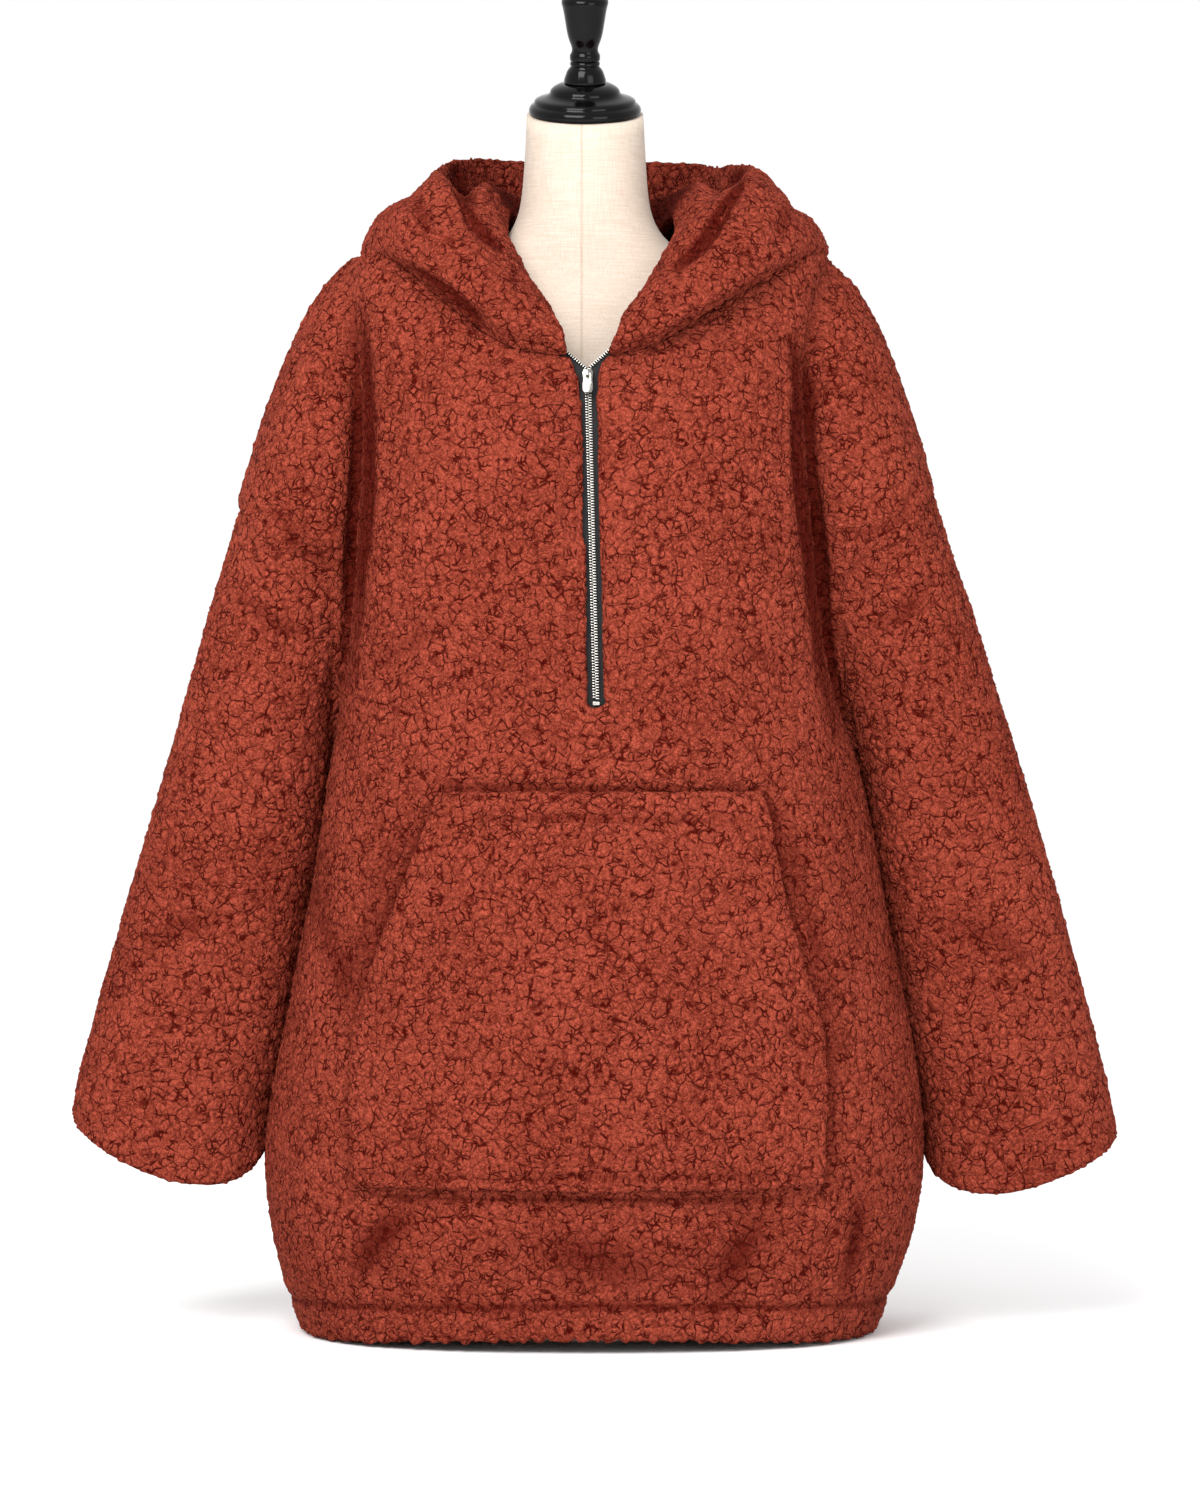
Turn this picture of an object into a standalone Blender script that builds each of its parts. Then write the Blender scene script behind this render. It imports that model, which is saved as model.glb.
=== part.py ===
"""Sherpa fleece pullover with a half zip and a hood, worn by a counter-top dress form.

Metres, +Z up. The front faces -Y, and the origin is under the middle of the form's base.
Each piece of cloth is a wall whose outer points are worked out from short tables of sections.
The pile is part of the wall, so the solids reach as far as the pile does.
"""
import bisect
import math

import bmesh
import bpy
from mathutils import Matrix, Vector

MM = 0.001
FRONT = -1
BACK = 1
LEFT = -1
RIGHT = 1


def table(columns, *rows):
    """A short table whose columns have names."""
    return [dict(zip(columns, row)) for row in rows]


# ---------------------------------------------------------------- cloth
PILE_WALL = 8 * MM            # backing and pile together
HEM_WALL = 10 * MM            # turned hems and cuffs are double
ZIP_EDGE_WALL = 4 * MM        # the pile is pressed flat where the zip is sewn
ZIP_EDGE_DIP = 2.5 * MM
SEAM_GAP = 0.34 * MM          # air between two pieces at a seam
FOLD_LIMIT = 0.6              # in a fold the wall grows to at most its thickness over this
MITRE_LIMIT = 0.5             # the same for the seam's gap at a corner
HEM_HEIGHT = 26 * MM
HEM_ROWS = 2                  # rows of points that are as thick as a hem
STITCH_DIP = 1.5 * MM         # how far the hem's stitching pulls the pile in
# The cloth hangs a little to the right of the form's middle. Its tables count heights from 15 mm
# below the floor.
GARMENT_PLACE = Vector((4, 0, -15)) * MM

# ---------------------------------------------------------------- body
# Heights of the hem, of the underarm and of the neckline, and where the neckline starts to rise.
HEM = {"front": 29 * MM, "back": 22 * MM, "side": 18 * MM}
UNDERARM = {"middle": 522 * MM, "left": 517 * MM, "right": 503 * MM}
NECKLINE = {"front": 852 * MM, "back": 930 * MM, "side": 944 * MM}
NECKLINE_RISE = (0.22, 0.97)  # it climbs from the zip to the shoulder between these places across
ROUNDNESS = 2.5               # exponent of the body's round-cornered sections

ROWS_BELOW = 11               # rows of points from the hem to the underarm
ROWS_ABOVE = 10               # and from there to the neckline
TOP_STEP = 0.05               # share of the upper height that the last row takes
COLUMNS_EACH_SIDE = 9         # columns of the front, on each side of the zip
BACK_COLUMNS = 14

# Sections of the body in millimetres: the left and right edges, how far the front and the back
# stand out, where the side seam lies, and how far the armhole folds part in front of and behind it.
BODY = table(
    ("height", "left", "right", "front", "back", "seam", "fold"),
    (15, -246, 246, -182, 172, 2, 0),
    (40, -258, 255, -189, 178, 2, 0),
    (75, -269, 273, -192, 181, 2, 0),
    (140, -279, 286, -195, 184, 2, 0),
    (190, -280, 289, -196, 185, 2, 0),
    (280, -262, 276, -194, 182, 2, 0),
    (360, -247, 259, -191, 179, 2, 0),
    (430, -234, 247, -187, 175, 2, 0),
    (510, -222, 230, -180, 168, 2, 0),
    (560, -211, 210, -176, 163, 2, 26),
    (620, -204, 199, -173, 159, 2, 45),
    (680, -201, 194, -169, 156, 2, 56),
    (740, -196, 187, -163, 151, 1, 62),
    (800, -194, 184, -153, 143, 0, 64),
    (850, -196, 180, -138, 134, -1, 60),
    (890, -200, 184, -122, 124, -2, 50),
    (920, -202, 194, -109, 112, -3, 34),
    (944, -202, 204, -98, 100, -3, 0),
)

# Soft troughs on the front and the back, in millimetres, from one end to the other.
CREASES = table(
    ("side", "from_x", "from_z", "to_x", "to_z", "width", "depth"),
    (FRONT, 152, 150, 112, 52, 15, 7),
    (FRONT, -190, 560, -95, 640, 24, 5),
    (FRONT, 190, 545, 110, 660, 24, 5),
    (FRONT, -235, 430, -205, 250, 26, 4),
    (FRONT, 235, 430, 228, 250, 26, 4),
    (BACK, -180, 540, -100, 660, 26, 6),
    (BACK, 180, 530, 95, 640, 26, 6),
    (BACK, -120, 330, -150, 90, 34, 6),
    (BACK, 90, 360, 135, 110, 34, 6),
)

# ---------------------------------------------------------------- sleeves
# Sections of the sleeves in millimetres, from the armhole seam to the cuff: the outer and the inner
# point, half the depth, how far the cloth sags between them, and how early the section climbs
# (a low power climbs early, 2 is an even oval).
SLEEVE_COLUMNS = ("place", "outer_x", "outer_z", "inner_x", "inner_z", "depth", "sag", "climb")
SLEEVES = {
    LEFT: table(
        SLEEVE_COLUMNS,
        (0, -302, 731, -229, 499, 76, 0, 1.0),
        (1, -318, 678, -231, 468, 71, 0, 1.2),
        (2, -335, 622, -234, 438, 67, 0, 1.6),
        (3, -353, 558, -239.5, 406, 63, 2, 2.0),
        (4, -372, 490, -247, 368, 61, 5, 2.0),
        (5, -392, 424, -254.5, 330, 60, 9, 2.0),
        (6, -412, 356, -262, 290, 59, 16, 2.0),
        (7, -431, 288, -270.5, 248, 59, 25, 2.0),
        (8, -446, 235, -278.5, 212, 60, 34, 2.0),
        (9, -450, 203, -283, 184, 61, 41, 2.0),
    ),
    RIGHT: table(
        SLEEVE_COLUMNS,
        (0, 296, 745, 240, 486, 76, 0, 1.0),
        (1, 312, 695, 243, 458, 71, 0, 1.2),
        (2, 332, 640, 248.5, 430, 67, 0, 1.6),
        (3, 353, 572, 254.5, 398, 63, 2, 2.0),
        (4, 374, 506, 261, 362, 61, 5, 2.0),
        (5, 394, 440, 268.5, 323, 60, 9, 2.0),
        (6, 414, 368, 277, 283, 59, 15, 2.0),
        (7, 433, 298, 285.5, 241, 59, 24, 2.0),
        (8, 452, 226, 291.5, 203, 60, 31, 2.0),
        (9, 459, 187, 293.5, 174, 61, 37, 2.0),
    ),
}
CAP_RINGS = 5                 # rings of points from the armhole fold to the armhole seam
CAP_TOP_BULGE = 80 * MM       # how far the shoulder rounds upwards
CAP_SIDE_BULGE = 26 * MM      # and forwards and backwards
SLEEVE_RINGS = 14
SLEEVE_SQUARENESS = 0.86      # power of the sleeve's oval, below 1 is squarer
DRIFT_TOTAL = 3.2             # how late a section goes outwards is this less its climb
CAP_POWER = 1.4               # how fast the shoulder's upward bulge fades towards the front
SAG_LEAN = 0.4                # the cloth sags more towards the body
SAG_POWER = 1.0
SEAM_LEDGE = Vector((14, 6, 4)) * MM      # from the armhole fold out to the lower armhole seam
SEAM_TURNS = (math.radians(45), math.radians(115))     # where the seam leaves the fold

# ---------------------------------------------------------------- hood
# Sections of the hood in millimetres by their azimuth round the neck (0 in front, 180 behind): how
# far out and how high the cloth runs, from the neckline under the roll, over its crest and in again.
HOOD = table(
    ("azimuth",
     "under_out", "under_up", "low_out", "low_up", "lobe_out", "lobe_up", "notch_out", "notch_up",
     "crest_out", "crest_up", "dip_out", "dip_up", "roll_out", "roll_up", "edge_out", "edge_up"),
    (6, 145, 855, 149, 861, 146, 869, 141, 873, 134, 874, 122, 868, 114, 858, 110, 846),
    (20, 160, 868, 166, 879, 153, 896, 139, 902, 124, 903, 108, 895, 100, 881, 98, 864),
    (40, 174, 895, 181, 908, 169, 938, 148, 952, 129, 959, 107, 953, 94, 938, 90, 915),
    (65, 186, 934, 193, 947, 181, 980, 158, 993, 142, 1008, 116, 992, 96, 992, 79, 962),
    (90, 203, 950, 203, 961, 186, 989, 160, 1002, 138, 1029, 117, 996, 92, 1011, 70, 984),
    (120, 200, 950, 209, 944, 203, 984, 176, 1012, 151, 1039, 127, 968, 98, 1013, 74, 980),
    (137, 170, 944, 193, 842, 213, 934, 190, 1009, 165, 1045, 145, 962, 110, 1011, 85, 968),
    (152, 150, 932, 177, 766, 220, 866, 206, 993, 183, 1047, 161, 918, 124, 1006, 101, 957),
    (166, 136, 923, 166, 733, 227, 838, 218, 981, 192, 1047, 170, 888, 136, 1002, 115, 950),
    (180, 131, 918, 163, 723, 230, 828, 222, 977, 196, 1047, 175, 880, 141, 1000, 121, 947),
)
HOOD.append(dict(HOOD[-2], azimuth=194))     # the halves mirror each other, so they join smoothly
HOOD_SPANS = (("under", 2), ("low", 2), ("lobe", 3), ("notch", 2), ("crest", 2), ("dip", 3),
              ("roll", 3), ("edge", 2))
HOOD_REACH = {LEFT: 0.975, RIGHT: 1.02}   # the right half lies a little further out

# ---------------------------------------------------------------- pocket
POCKET = table(
    ("height", "left", "right"),
    (157, -198, 194),
    (274, -196, 196),
    (300, -191, 190),
    (340, -178, 176),
    (400, -156, 160),
    (440, -140, 153),
    (484, -123, 143),
)
POCKET_WALL = 9 * MM
POCKET_GAP = 1.2 * MM
POCKET_EDGE_WALL = 6 * MM     # where it is sewn down
POCKET_BELLY = 3.5 * MM       # how far its middle stands off beyond that
POCKET_ROWS = 12
POCKET_COLUMNS = 14

# ---------------------------------------------------------------- zip
ZIP_FOOT = {"x": 5.8 * MM, "height": 558 * MM}
ZIP_HEAD = {"x": -1.7 * MM, "height": 852 * MM}
SLIT_HALF = 6.2 * MM
SLIT_HALF_AT_TOP = 16.5 * MM
TAPE = {"front": 8.4 * MM, "back": 9.2 * MM, "width": 12 * MM, "foot": 545 * MM, "head": 845 * MM}
TEETH = {"front": 5.2 * MM, "back": 7.6 * MM, "width": 2.75 * MM, "foot": 562 * MM,
         "head": 851 * MM}
ZIP_MIDDLE_GAP = 0.3 * MM     # between the two tapes, and between the two rows of teeth
ZIP_STEPS = 14                # lengths of the strips from the foot to the slider
SLIDER_HEIGHT = 837 * MM      # the middle of the slider
SLIDER = {"wide": 9 * MM, "narrow": 7.6 * MM, "tall": 10 * MM, "front": 2.4 * MM, "back": 7.0 * MM,
          "plate": 1.5 * MM, "channel": 6.2 * MM}
# Outlines as shares of half the width and half the height, or of the tab's width and length.
SLIDER_OUTLINE = ((-1, 0.35), (-0.8, 1), (0.8, 1), (1, 0.35))
TAB_OUTLINE = ((-1, -0.55), (-1, -0.85), (-0.7, -1), (0.7, -1), (1, -0.85), (1, -0.55))
BRIDGE = {"wide": 2.0 * MM, "tall": 4.6 * MM, "post": 0.9 * MM, "out": 3.3 * MM}
TAB = {"axis_depth": 0.4 * MM, "bar": 1.2 * MM, "top_wide": 6.4 * MM, "wide": 8.4 * MM,
       "long": 17 * MM, "thick": 1.2 * MM, "eye_wide": 3.0 * MM, "eye_long": 4.4 * MM}
STOP = {"wide": 6.0 * MM, "tall": 3.0 * MM, "front": 4.6 * MM, "back": 7.6 * MM,
        "height": 559.4 * MM}

# ---------------------------------------------------------------- dress form
FORM = table(
    ("height", "half_width", "front", "back", "tilt"),
    (85, 140, -92, 100, 0),
    (115, 158, -102, 112, 0),
    (195, 166, -106, 118, 0),
    (315, 150, -100, 108, 0),
    (435, 119, -88, 86, 0),
    (545, 132, -106, 92, 0),
    (645, 146, -126, 102, 0),
    (725, 152, -120, 106, 0),
    (805, 163, -96, 101, 0),
    (855, 174, -78, 88, 0),
    (885, 177, -66, 75, 0),
    (902, 165, -58, 66, 0),
    (917, 126, -54, 61, 0),
    (931, 90, -53, 59, 0),
    (947, 67, -53, 56, 0),
    (970, 56, -52, 53, 0.1),
    (1005, 53.5, -51.5, 51.5, 0.5),
    (1054, 51, -51, 51, 1),
)
FORM_STEP = 45 * MM
FORM_SIDES = 28
FORM_ROUNDNESS = 2.15
NECK_TILT = math.radians(16)  # the neck is cut at a slant, lower in front
NECK_TOP = 1054 * MM
PART_GAP = 0.3 * MM

# Turned profiles in millimetres: radius and height.
NECK_CAP = ((0, 0), (46.5, 0), (48.6, 2), (48.6, 5), (46.6, 8.5), (44.2, 10), (43.2, 13),
            (38.5, 15), (32, 17.5), (30.4, 19), (29.4, 22), (25.5, 25.2), (20.5, 27.2), (0, 27.6))
FINIAL = ((0, 0), (17.6, 0), (18.3, 1.5), (17.4, 5), (15.8, 9.5), (13.6, 12.8), (12.3, 14.8),
          (12.9, 16), (12.9, 17.6), (12.1, 18.6), (12.9, 19.6), (12.9, 24.6), (11.6, 27.4),
          (11.4, 30), (13.6, 36.5), (15.4, 43), (17, 52.5), (18.4, 61), (19.6, 66.5), (20.3, 69),
          (20.1, 71.6), (17.2, 74.8), (12, 77.4), (6, 79), (0, 79.6))
BASE = ((0, 0), (98, 0), (100, 1.5), (100, 3.5), (98, 5), (0, 5))
POLE_RADIUS = 15 * MM
TURNED_SIDES = 32
FINIAL_SIDES = 24


# ================================================================ helpers
def slope(keys, values, index):
    before = max(index - 1, 0)
    after = min(index + 1, len(keys) - 1)
    return (values[after] - values[before]) / (keys[after] - keys[before])


def read(rows, key, place, name):
    """A column of a table at a place between its rows, on a smooth curve through them."""
    keys = [row[key] for row in rows]
    values = [row[name] for row in rows]
    place = min(max(place, keys[0]), keys[-1])
    index = min(bisect.bisect_right(keys, place), len(keys) - 1) - 1
    span = keys[index + 1] - keys[index]
    t = (place - keys[index]) / span
    start = slope(keys, values, index) * span
    end = slope(keys, values, index + 1) * span
    return ((2 * t**3 - 3 * t**2 + 1) * values[index] + (t**3 - 2 * t**2 + t) * start
            + (3 * t**2 - 2 * t**3) * values[index + 1] + (t**3 - t**2) * end)


def mix(start, end, share):
    return start + (end - start) * share


def smooth_step(start, end, value):
    t = min(max((value - start) / (end - start), 0), 1)
    return t * t * (3 - 2 * t)


def clear_scene():
    for thing in list(bpy.data.objects):
        bpy.data.objects.remove(thing)


def finish(name, colour, roughness, metallic=0.0):
    made = bpy.data.materials.new(name)
    made.use_nodes = True
    shader = made.node_tree.nodes["Principled BSDF"]
    shader.inputs["Base Color"].default_value = (*colour, 1)
    shader.inputs["Roughness"].default_value = roughness
    shader.inputs["Metallic"].default_value = metallic
    return made


def mesh_object(name, points, faces, look, smooth=True):
    mesh = bpy.data.meshes.new(name)
    mesh.from_pydata([tuple(point) for point in points], [], faces)
    mesh.materials.append(look)
    mesh.update()
    if smooth:
        mesh.shade_smooth()
    made = bpy.data.objects.new(name, mesh)
    bpy.context.collection.objects.link(made)
    return made


def cutter(name, points, faces, look):
    made = mesh_object(name, points, faces, look, smooth=False)
    made.hide_render = True
    made.display_type = "WIRE"
    return made


def box_shape(low, high):
    """The corners and outward faces of a box."""
    points = [Vector((x, y, z)) for z in (low[2], high[2]) for y in (low[1], high[1])
              for x in (low[0], high[0])]
    faces = [(0, 2, 3, 1), (4, 5, 7, 6), (0, 1, 5, 4), (2, 6, 7, 3), (0, 4, 6, 2), (1, 3, 7, 5)]
    return points, faces


def boolean(target, tool, operation):
    change = target.modifiers.new(tool.name, "BOOLEAN")
    change.operation = operation
    change.object = tool
    change.solver = "EXACT"


def turned(name, profile, sides, look):
    """A closed turned piece from a profile that starts and ends on its axis."""
    points = [Vector((0, 0, profile[0][1] * MM))]
    for radius, height in profile[1:-1]:
        for side in range(sides):
            turn = math.tau * side / sides
            points.append(Vector((radius * MM * math.cos(turn), radius * MM * math.sin(turn),
                                  height * MM)))
    points.append(Vector((0, 0, profile[-1][1] * MM)))
    rings = len(profile) - 2
    last = len(points) - 1
    faces = []
    for side in range(sides):
        after = (side + 1) % sides
        faces.append((0, 1 + after, 1 + side))
        faces.append((last, 1 + (rings - 1) * sides + side, 1 + (rings - 1) * sides + after))
        for ring in range(rings - 1):
            low = 1 + ring * sides
            high = low + sides
            faces.append((low + side, low + after, high + after, high + side))
    return mesh_object(name, points, faces, look)


def tube_grid(rings):
    """Points and faces of a closed piece from rings of points, each end filled by one face."""
    count = len(rings[0])
    points = [point for ring in rings for point in ring]
    faces = [tuple(reversed(range(count))),
             tuple(range(len(points) - count, len(points)))]
    for ring in range(len(rings) - 1):
        for side in range(count):
            after = (side + 1) % count
            low = ring * count
            high = low + count
            faces.append((low + side, low + after, high + after, high + side))
    return points, faces


# ================================================================ the garment's outer surface
def hem_height(side, across):
    middle = HEM["front"] if side == FRONT else HEM["back"]
    return mix(middle, HEM["side"], across**2)


def underarm_height(across):
    edge = UNDERARM["left"] if across < 0 else UNDERARM["right"]
    return mix(UNDERARM["middle"], edge, across**2)


def neckline_height(side, across):
    if side == BACK:
        return mix(NECKLINE["back"], NECKLINE["side"], across**2)
    return mix(NECKLINE["front"], NECKLINE["side"], smooth_step(*NECKLINE_RISE, abs(across)))


def row_height(side, across, row):
    """Height of a row of points, at a place across the body from -1 to 1."""
    hem = hem_height(side, across)
    underarm = underarm_height(across)
    if row == 0:
        return hem
    if row <= ROWS_BELOW:
        return mix(hem + HEM_HEIGHT, underarm, (row - 1) / (ROWS_BELOW - 1))
    if row == ROWS_BELOW + ROWS_ABOVE:
        return neckline_height(side, across)
    share = (row - ROWS_BELOW) / (ROWS_ABOVE - 1) * (1 - TOP_STEP)
    return mix(underarm, neckline_height(side, across), share)


def crease_depth(side, x, z):
    depth = 0
    for crease in CREASES:
        if crease["side"] != side:
            continue
        start = Vector((crease["from_x"], crease["from_z"])) * MM
        run = Vector((crease["to_x"], crease["to_z"])) * MM - start
        along = min(max((Vector((x, z)) - start).dot(run) / run.length_squared, 0), 1)
        away = (Vector((x, z)) - start - run * along).length / (crease["width"] * MM)
        depth += crease["depth"] * MM * math.exp(-away * away)
    return depth


def body_place(across, height):
    left = read(BODY, "height", height / MM, "left") * MM
    right = read(BODY, "height", height / MM, "right") * MM
    return mix(left, right, (across + 1) / 2)


def body_across(x, height):
    left = read(BODY, "height", height / MM, "left") * MM
    right = read(BODY, "height", height / MM, "right") * MM
    return 2 * (x - left) / (right - left) - 1


def body_point(side, across, height, folded):
    """A point of the body's outer face."""
    seam = read(BODY, "height", height / MM, "seam") * MM
    fold = read(BODY, "height", height / MM, "fold") * MM if folded else 0
    reach = read(BODY, "height", height / MM, "front" if side == FRONT else "back") * MM
    edge = seam + side * fold
    bulge = (1 - min(abs(across), 1) ** ROUNDNESS) ** (1 / ROUNDNESS)
    x = body_place(across, height)
    y = mix(edge, reach, bulge) - side * crease_depth(side, x, height) * bulge
    return Vector((x, y, height))


def front_surface(x, height):
    """The point of the front's outer face at a place across and a height."""
    folded = underarm_height(0) < height < NECKLINE["side"]
    return body_point(FRONT, body_across(x, height), height, folded)


def zip_x(height):
    share = (height - ZIP_FOOT["height"]) / (ZIP_HEAD["height"] - ZIP_FOOT["height"])
    return mix(ZIP_FOOT["x"], ZIP_HEAD["x"], share)


def spaced(step, steps):
    """Places from 0 to 1 that crowd where the section turns sharply, near 0."""
    return 1 - math.cos(math.pi / 2 * step / steps) ** (2 / ROUNDNESS)


def front_columns(row):
    """Places across the front, in two groups that meet at the zip's slit."""
    height = row_height(FRONT, 0, row)
    half = SLIT_HALF_AT_TOP if row == ROWS_BELOW + ROWS_ABOVE else SLIT_HALF
    left_lip = body_across(zip_x(height) - half, height)
    right_lip = body_across(zip_x(height) + half, height)
    steps = COLUMNS_EACH_SIDE
    places = [mix(-1, left_lip, spaced(step, steps)) for step in range(steps + 1)]
    return places + [mix(1, right_lip, spaced(steps - step, steps)) for step in range(steps + 1)]


def back_columns():
    half = BACK_COLUMNS // 2
    left = [mix(-1, 0, spaced(step, half)) for step in range(half)]
    return left + [0] + [-place for place in reversed(left)]


def sleeve_point(side, place, angle):
    """A point of a sleeve's section: angle 0 is its inner point, a quarter turn its front."""
    rows = SLEEVES[side]
    now = {name: read(rows, "place", place, name) for name in SLEEVE_COLUMNS[1:]}
    climb = math.sin(angle / 2) ** now["climb"]
    drift = math.sin(angle / 2) ** max(2, DRIFT_TOTAL - now["climb"])
    bulge = math.copysign(abs(math.sin(angle)) ** SLEEVE_SQUARENESS, math.sin(angle))
    sag = now["sag"] * abs(math.sin(angle)) ** SAG_POWER * (1 + SAG_LEAN * math.cos(angle))
    return Vector((mix(now["inner_x"], now["outer_x"], drift),
                   -now["depth"] * bulge,
                   mix(now["inner_z"], now["outer_z"], climb) - sag)) * MM


def seam_point(side, fold_point, angle):
    """The armhole seam runs down close to the armhole fold, and over the shoulder as an oval."""
    ledge = Vector((side * SEAM_LEDGE.x, -math.copysign(SEAM_LEDGE.y, math.sin(angle)),
                    SEAM_LEDGE.z))
    turn = min(angle, math.tau - angle)
    over = smooth_step(*SEAM_TURNS, turn)
    under = smooth_step(0, SEAM_TURNS[0], turn)
    oval = sleeve_point(side, 0, angle)
    return oval.lerp(fold_point + ledge, under * (1 - over))


def cap_point(start, end, share, angle):
    """A point between the armhole fold and the armhole seam, on a curve that bulges outwards."""
    outward = Vector((0, -CAP_SIDE_BULGE * math.sin(angle),
                      CAP_TOP_BULGE * ((1 - math.cos(angle)) / 2) ** CAP_POWER))
    control = (start + end) / 2 + outward
    return start * (1 - share) ** 2 + control * 2 * share * (1 - share) + end * share**2


def catmull(points, index, share):
    """A point on a smooth curve through the points, between one of them and the next."""
    before = points[max(index - 1, 0)]
    start = points[index]
    end = points[index + 1]
    after = points[min(index + 2, len(points) - 1)]
    leave = (end - before) / 2
    arrive = (after - start) / 2
    return (start * (2 * share**3 - 3 * share**2 + 1) + leave * (share**3 - 2 * share**2 + share)
            + end * (3 * share**2 - 2 * share**3) + arrive * (share**3 - share**2))


def hood_section(seam_point):
    """Points of the hood's outer face, from a point of the neckline over the roll to its edge."""
    side = LEFT if seam_point.x < 0 else RIGHT
    azimuth = math.degrees(math.atan2(abs(seam_point.x), -seam_point.y))
    outward = Vector((seam_point.x, seam_point.y, 0)).normalized()
    knots = [seam_point]
    for name, _ in HOOD_SPANS:
        out = read(HOOD, "azimuth", azimuth, name + "_out") * MM
        up = read(HOOD, "azimuth", azimuth, name + "_up") * MM
        reach = mix(1, HOOD_REACH[side], math.sin(math.radians(azimuth)) ** 2)
        knots.append(outward * out * reach + Vector((0, 0, up)))
    section = []
    for index, (_, steps) in enumerate(HOOD_SPANS):
        section += [catmull(knots, index, (step + 1) / steps) for step in range(steps)]
    return section


class Surface:
    """The whole garment's outer face as one grid of shared points, with its faces by panel."""

    def __init__(self):
        self.points = []
        self.walls = []
        self.panels = {}

    def add(self, point, wall=PILE_WALL):
        self.points.append(point)
        self.walls.append(wall)
        return len(self.points) - 1

    def quad(self, panel, *corners):
        kept = list(dict.fromkeys(corners))
        self.panels.setdefault(panel, []).append(tuple(kept))


def body_grids(surface):
    """The front's and the back's grids of points, which share the side seams and the neck's sides."""
    top = ROWS_BELOW + ROWS_ABOVE
    front = []
    back = []
    for row in range(top + 1):
        folded = ROWS_BELOW < row < top
        wall = HEM_WALL if row < HEM_ROWS else PILE_WALL
        line = []
        places = front_columns(row)
        for column, across in enumerate(places):
            point = body_point(FRONT, across, row_height(FRONT, across, row), folded)
            by_slit = row > ROWS_BELOW and column in (COLUMNS_EACH_SIDE, COLUMNS_EACH_SIDE + 1)
            if by_slit:
                point.y += ZIP_EDGE_DIP
            if row == 1:
                point.y += STITCH_DIP
            line.append(surface.add(point, ZIP_EDGE_WALL if by_slit else wall))
        front.append(line)
        line = []
        for across in back_columns():
            if abs(across) == 1 and not folded:
                line.append(front[row][0 if across < 0 else -1])
                continue
            point = body_point(BACK, across, row_height(BACK, across, row), folded)
            if row == 1:
                point.y -= STITCH_DIP
            line.append(surface.add(point, wall))
        back.append(line)
    return front, back


def body_faces(surface, front, back):
    slit = COLUMNS_EACH_SIDE
    for row in range(ROWS_BELOW + ROWS_ABOVE):
        for column in range(len(front[0]) - 1):
            if column == slit and row > ROWS_BELOW:
                continue
            surface.quad("front_panel", front[row][column], front[row][column + 1],
                         front[row + 1][column + 1], front[row + 1][column])
        for column in range(len(back[0]) - 1):
            surface.quad("back_panel", back[row][column + 1], back[row][column],
                         back[row + 1][column], back[row + 1][column + 1])


def sleeve_faces(surface, front, back, side):
    """The shoulder cap, which belongs to the front and the back, and the sleeve below its seam."""
    edge = 0 if side == LEFT else -1
    top = ROWS_BELOW + ROWS_ABOVE
    ring = [front[row][edge] for row in range(ROWS_BELOW, top + 1)]
    ring += [back[row][edge] for row in range(top - 1, ROWS_BELOW, -1)]
    count = len(ring)
    angles = [math.tau * index / count for index in range(count)]
    rings = [ring]
    for number in range(1, CAP_RINGS + 1):
        share = number / CAP_RINGS
        line = []
        for start, angle in zip(ring, angles):
            fold_point = surface.points[start]
            line.append(surface.add(cap_point(fold_point, seam_point(side, fold_point, angle),
                                              share, angle)))
        rings.append(line)
    last_place = SLEEVES[side][-1]["place"]
    for number in range(1, SLEEVE_RINGS + 1):
        place = last_place * number / SLEEVE_RINGS
        wall = HEM_WALL if number > SLEEVE_RINGS - HEM_ROWS else PILE_WALL
        rings.append([surface.add(sleeve_point(side, place, angle), wall) for angle in angles])
    for number in range(len(rings) - 1):
        for index in range(count):
            after = (index + 1) % count
            if number >= CAP_RINGS:
                panel = "sleeve_left" if side == LEFT else "sleeve_right"
            else:
                panel = "front_panel" if index < count // 2 else "back_panel"
            corners = (rings[number][index], rings[number][after],
                       rings[number + 1][after], rings[number + 1][index])
            surface.quad(panel, *(reversed(corners) if side == RIGHT else corners))


def hood_faces(surface, front, back, side):
    top = ROWS_BELOW + ROWS_ABOVE
    slit = COLUMNS_EACH_SIDE
    middle = BACK_COLUMNS // 2
    if side == LEFT:
        seam = [front[top][column] for column in range(slit, -1, -1)]
        seam += [back[top][column] for column in range(1, middle + 1)]
    else:
        seam = [front[top][column] for column in range(slit + 1, len(front[top]))]
        seam += [back[top][column] for column in range(BACK_COLUMNS - 1, middle - 1, -1)]
    lines = []
    for start in seam:
        section = hood_section(surface.points[start])
        lines.append([start] + [surface.add(point) for point in section])
    return lines


def join_hood(surface, left, right):
    """The two halves share their line at the middle of the back."""
    right[-1] = left[-1]
    for panel, lines in (("hood_left", left), ("hood_right", right)):
        for number in range(len(lines) - 1):
            for step in range(len(lines[0]) - 1):
                corners = (lines[number][step], lines[number][step + 1],
                           lines[number + 1][step + 1], lines[number + 1][step])
                surface.quad(panel, *(reversed(corners) if panel == "hood_right" else corners))


def garment_surface():
    surface = Surface()
    front, back = body_grids(surface)
    body_faces(surface, front, back)
    for side in (LEFT, RIGHT):
        sleeve_faces(surface, front, back, side)
    left = hood_faces(surface, front, back, LEFT)
    right = hood_faces(surface, front, back, RIGHT)
    join_hood(surface, left, right)
    surface.points = [point + GARMENT_PLACE for point in surface.points]
    return surface


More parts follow.
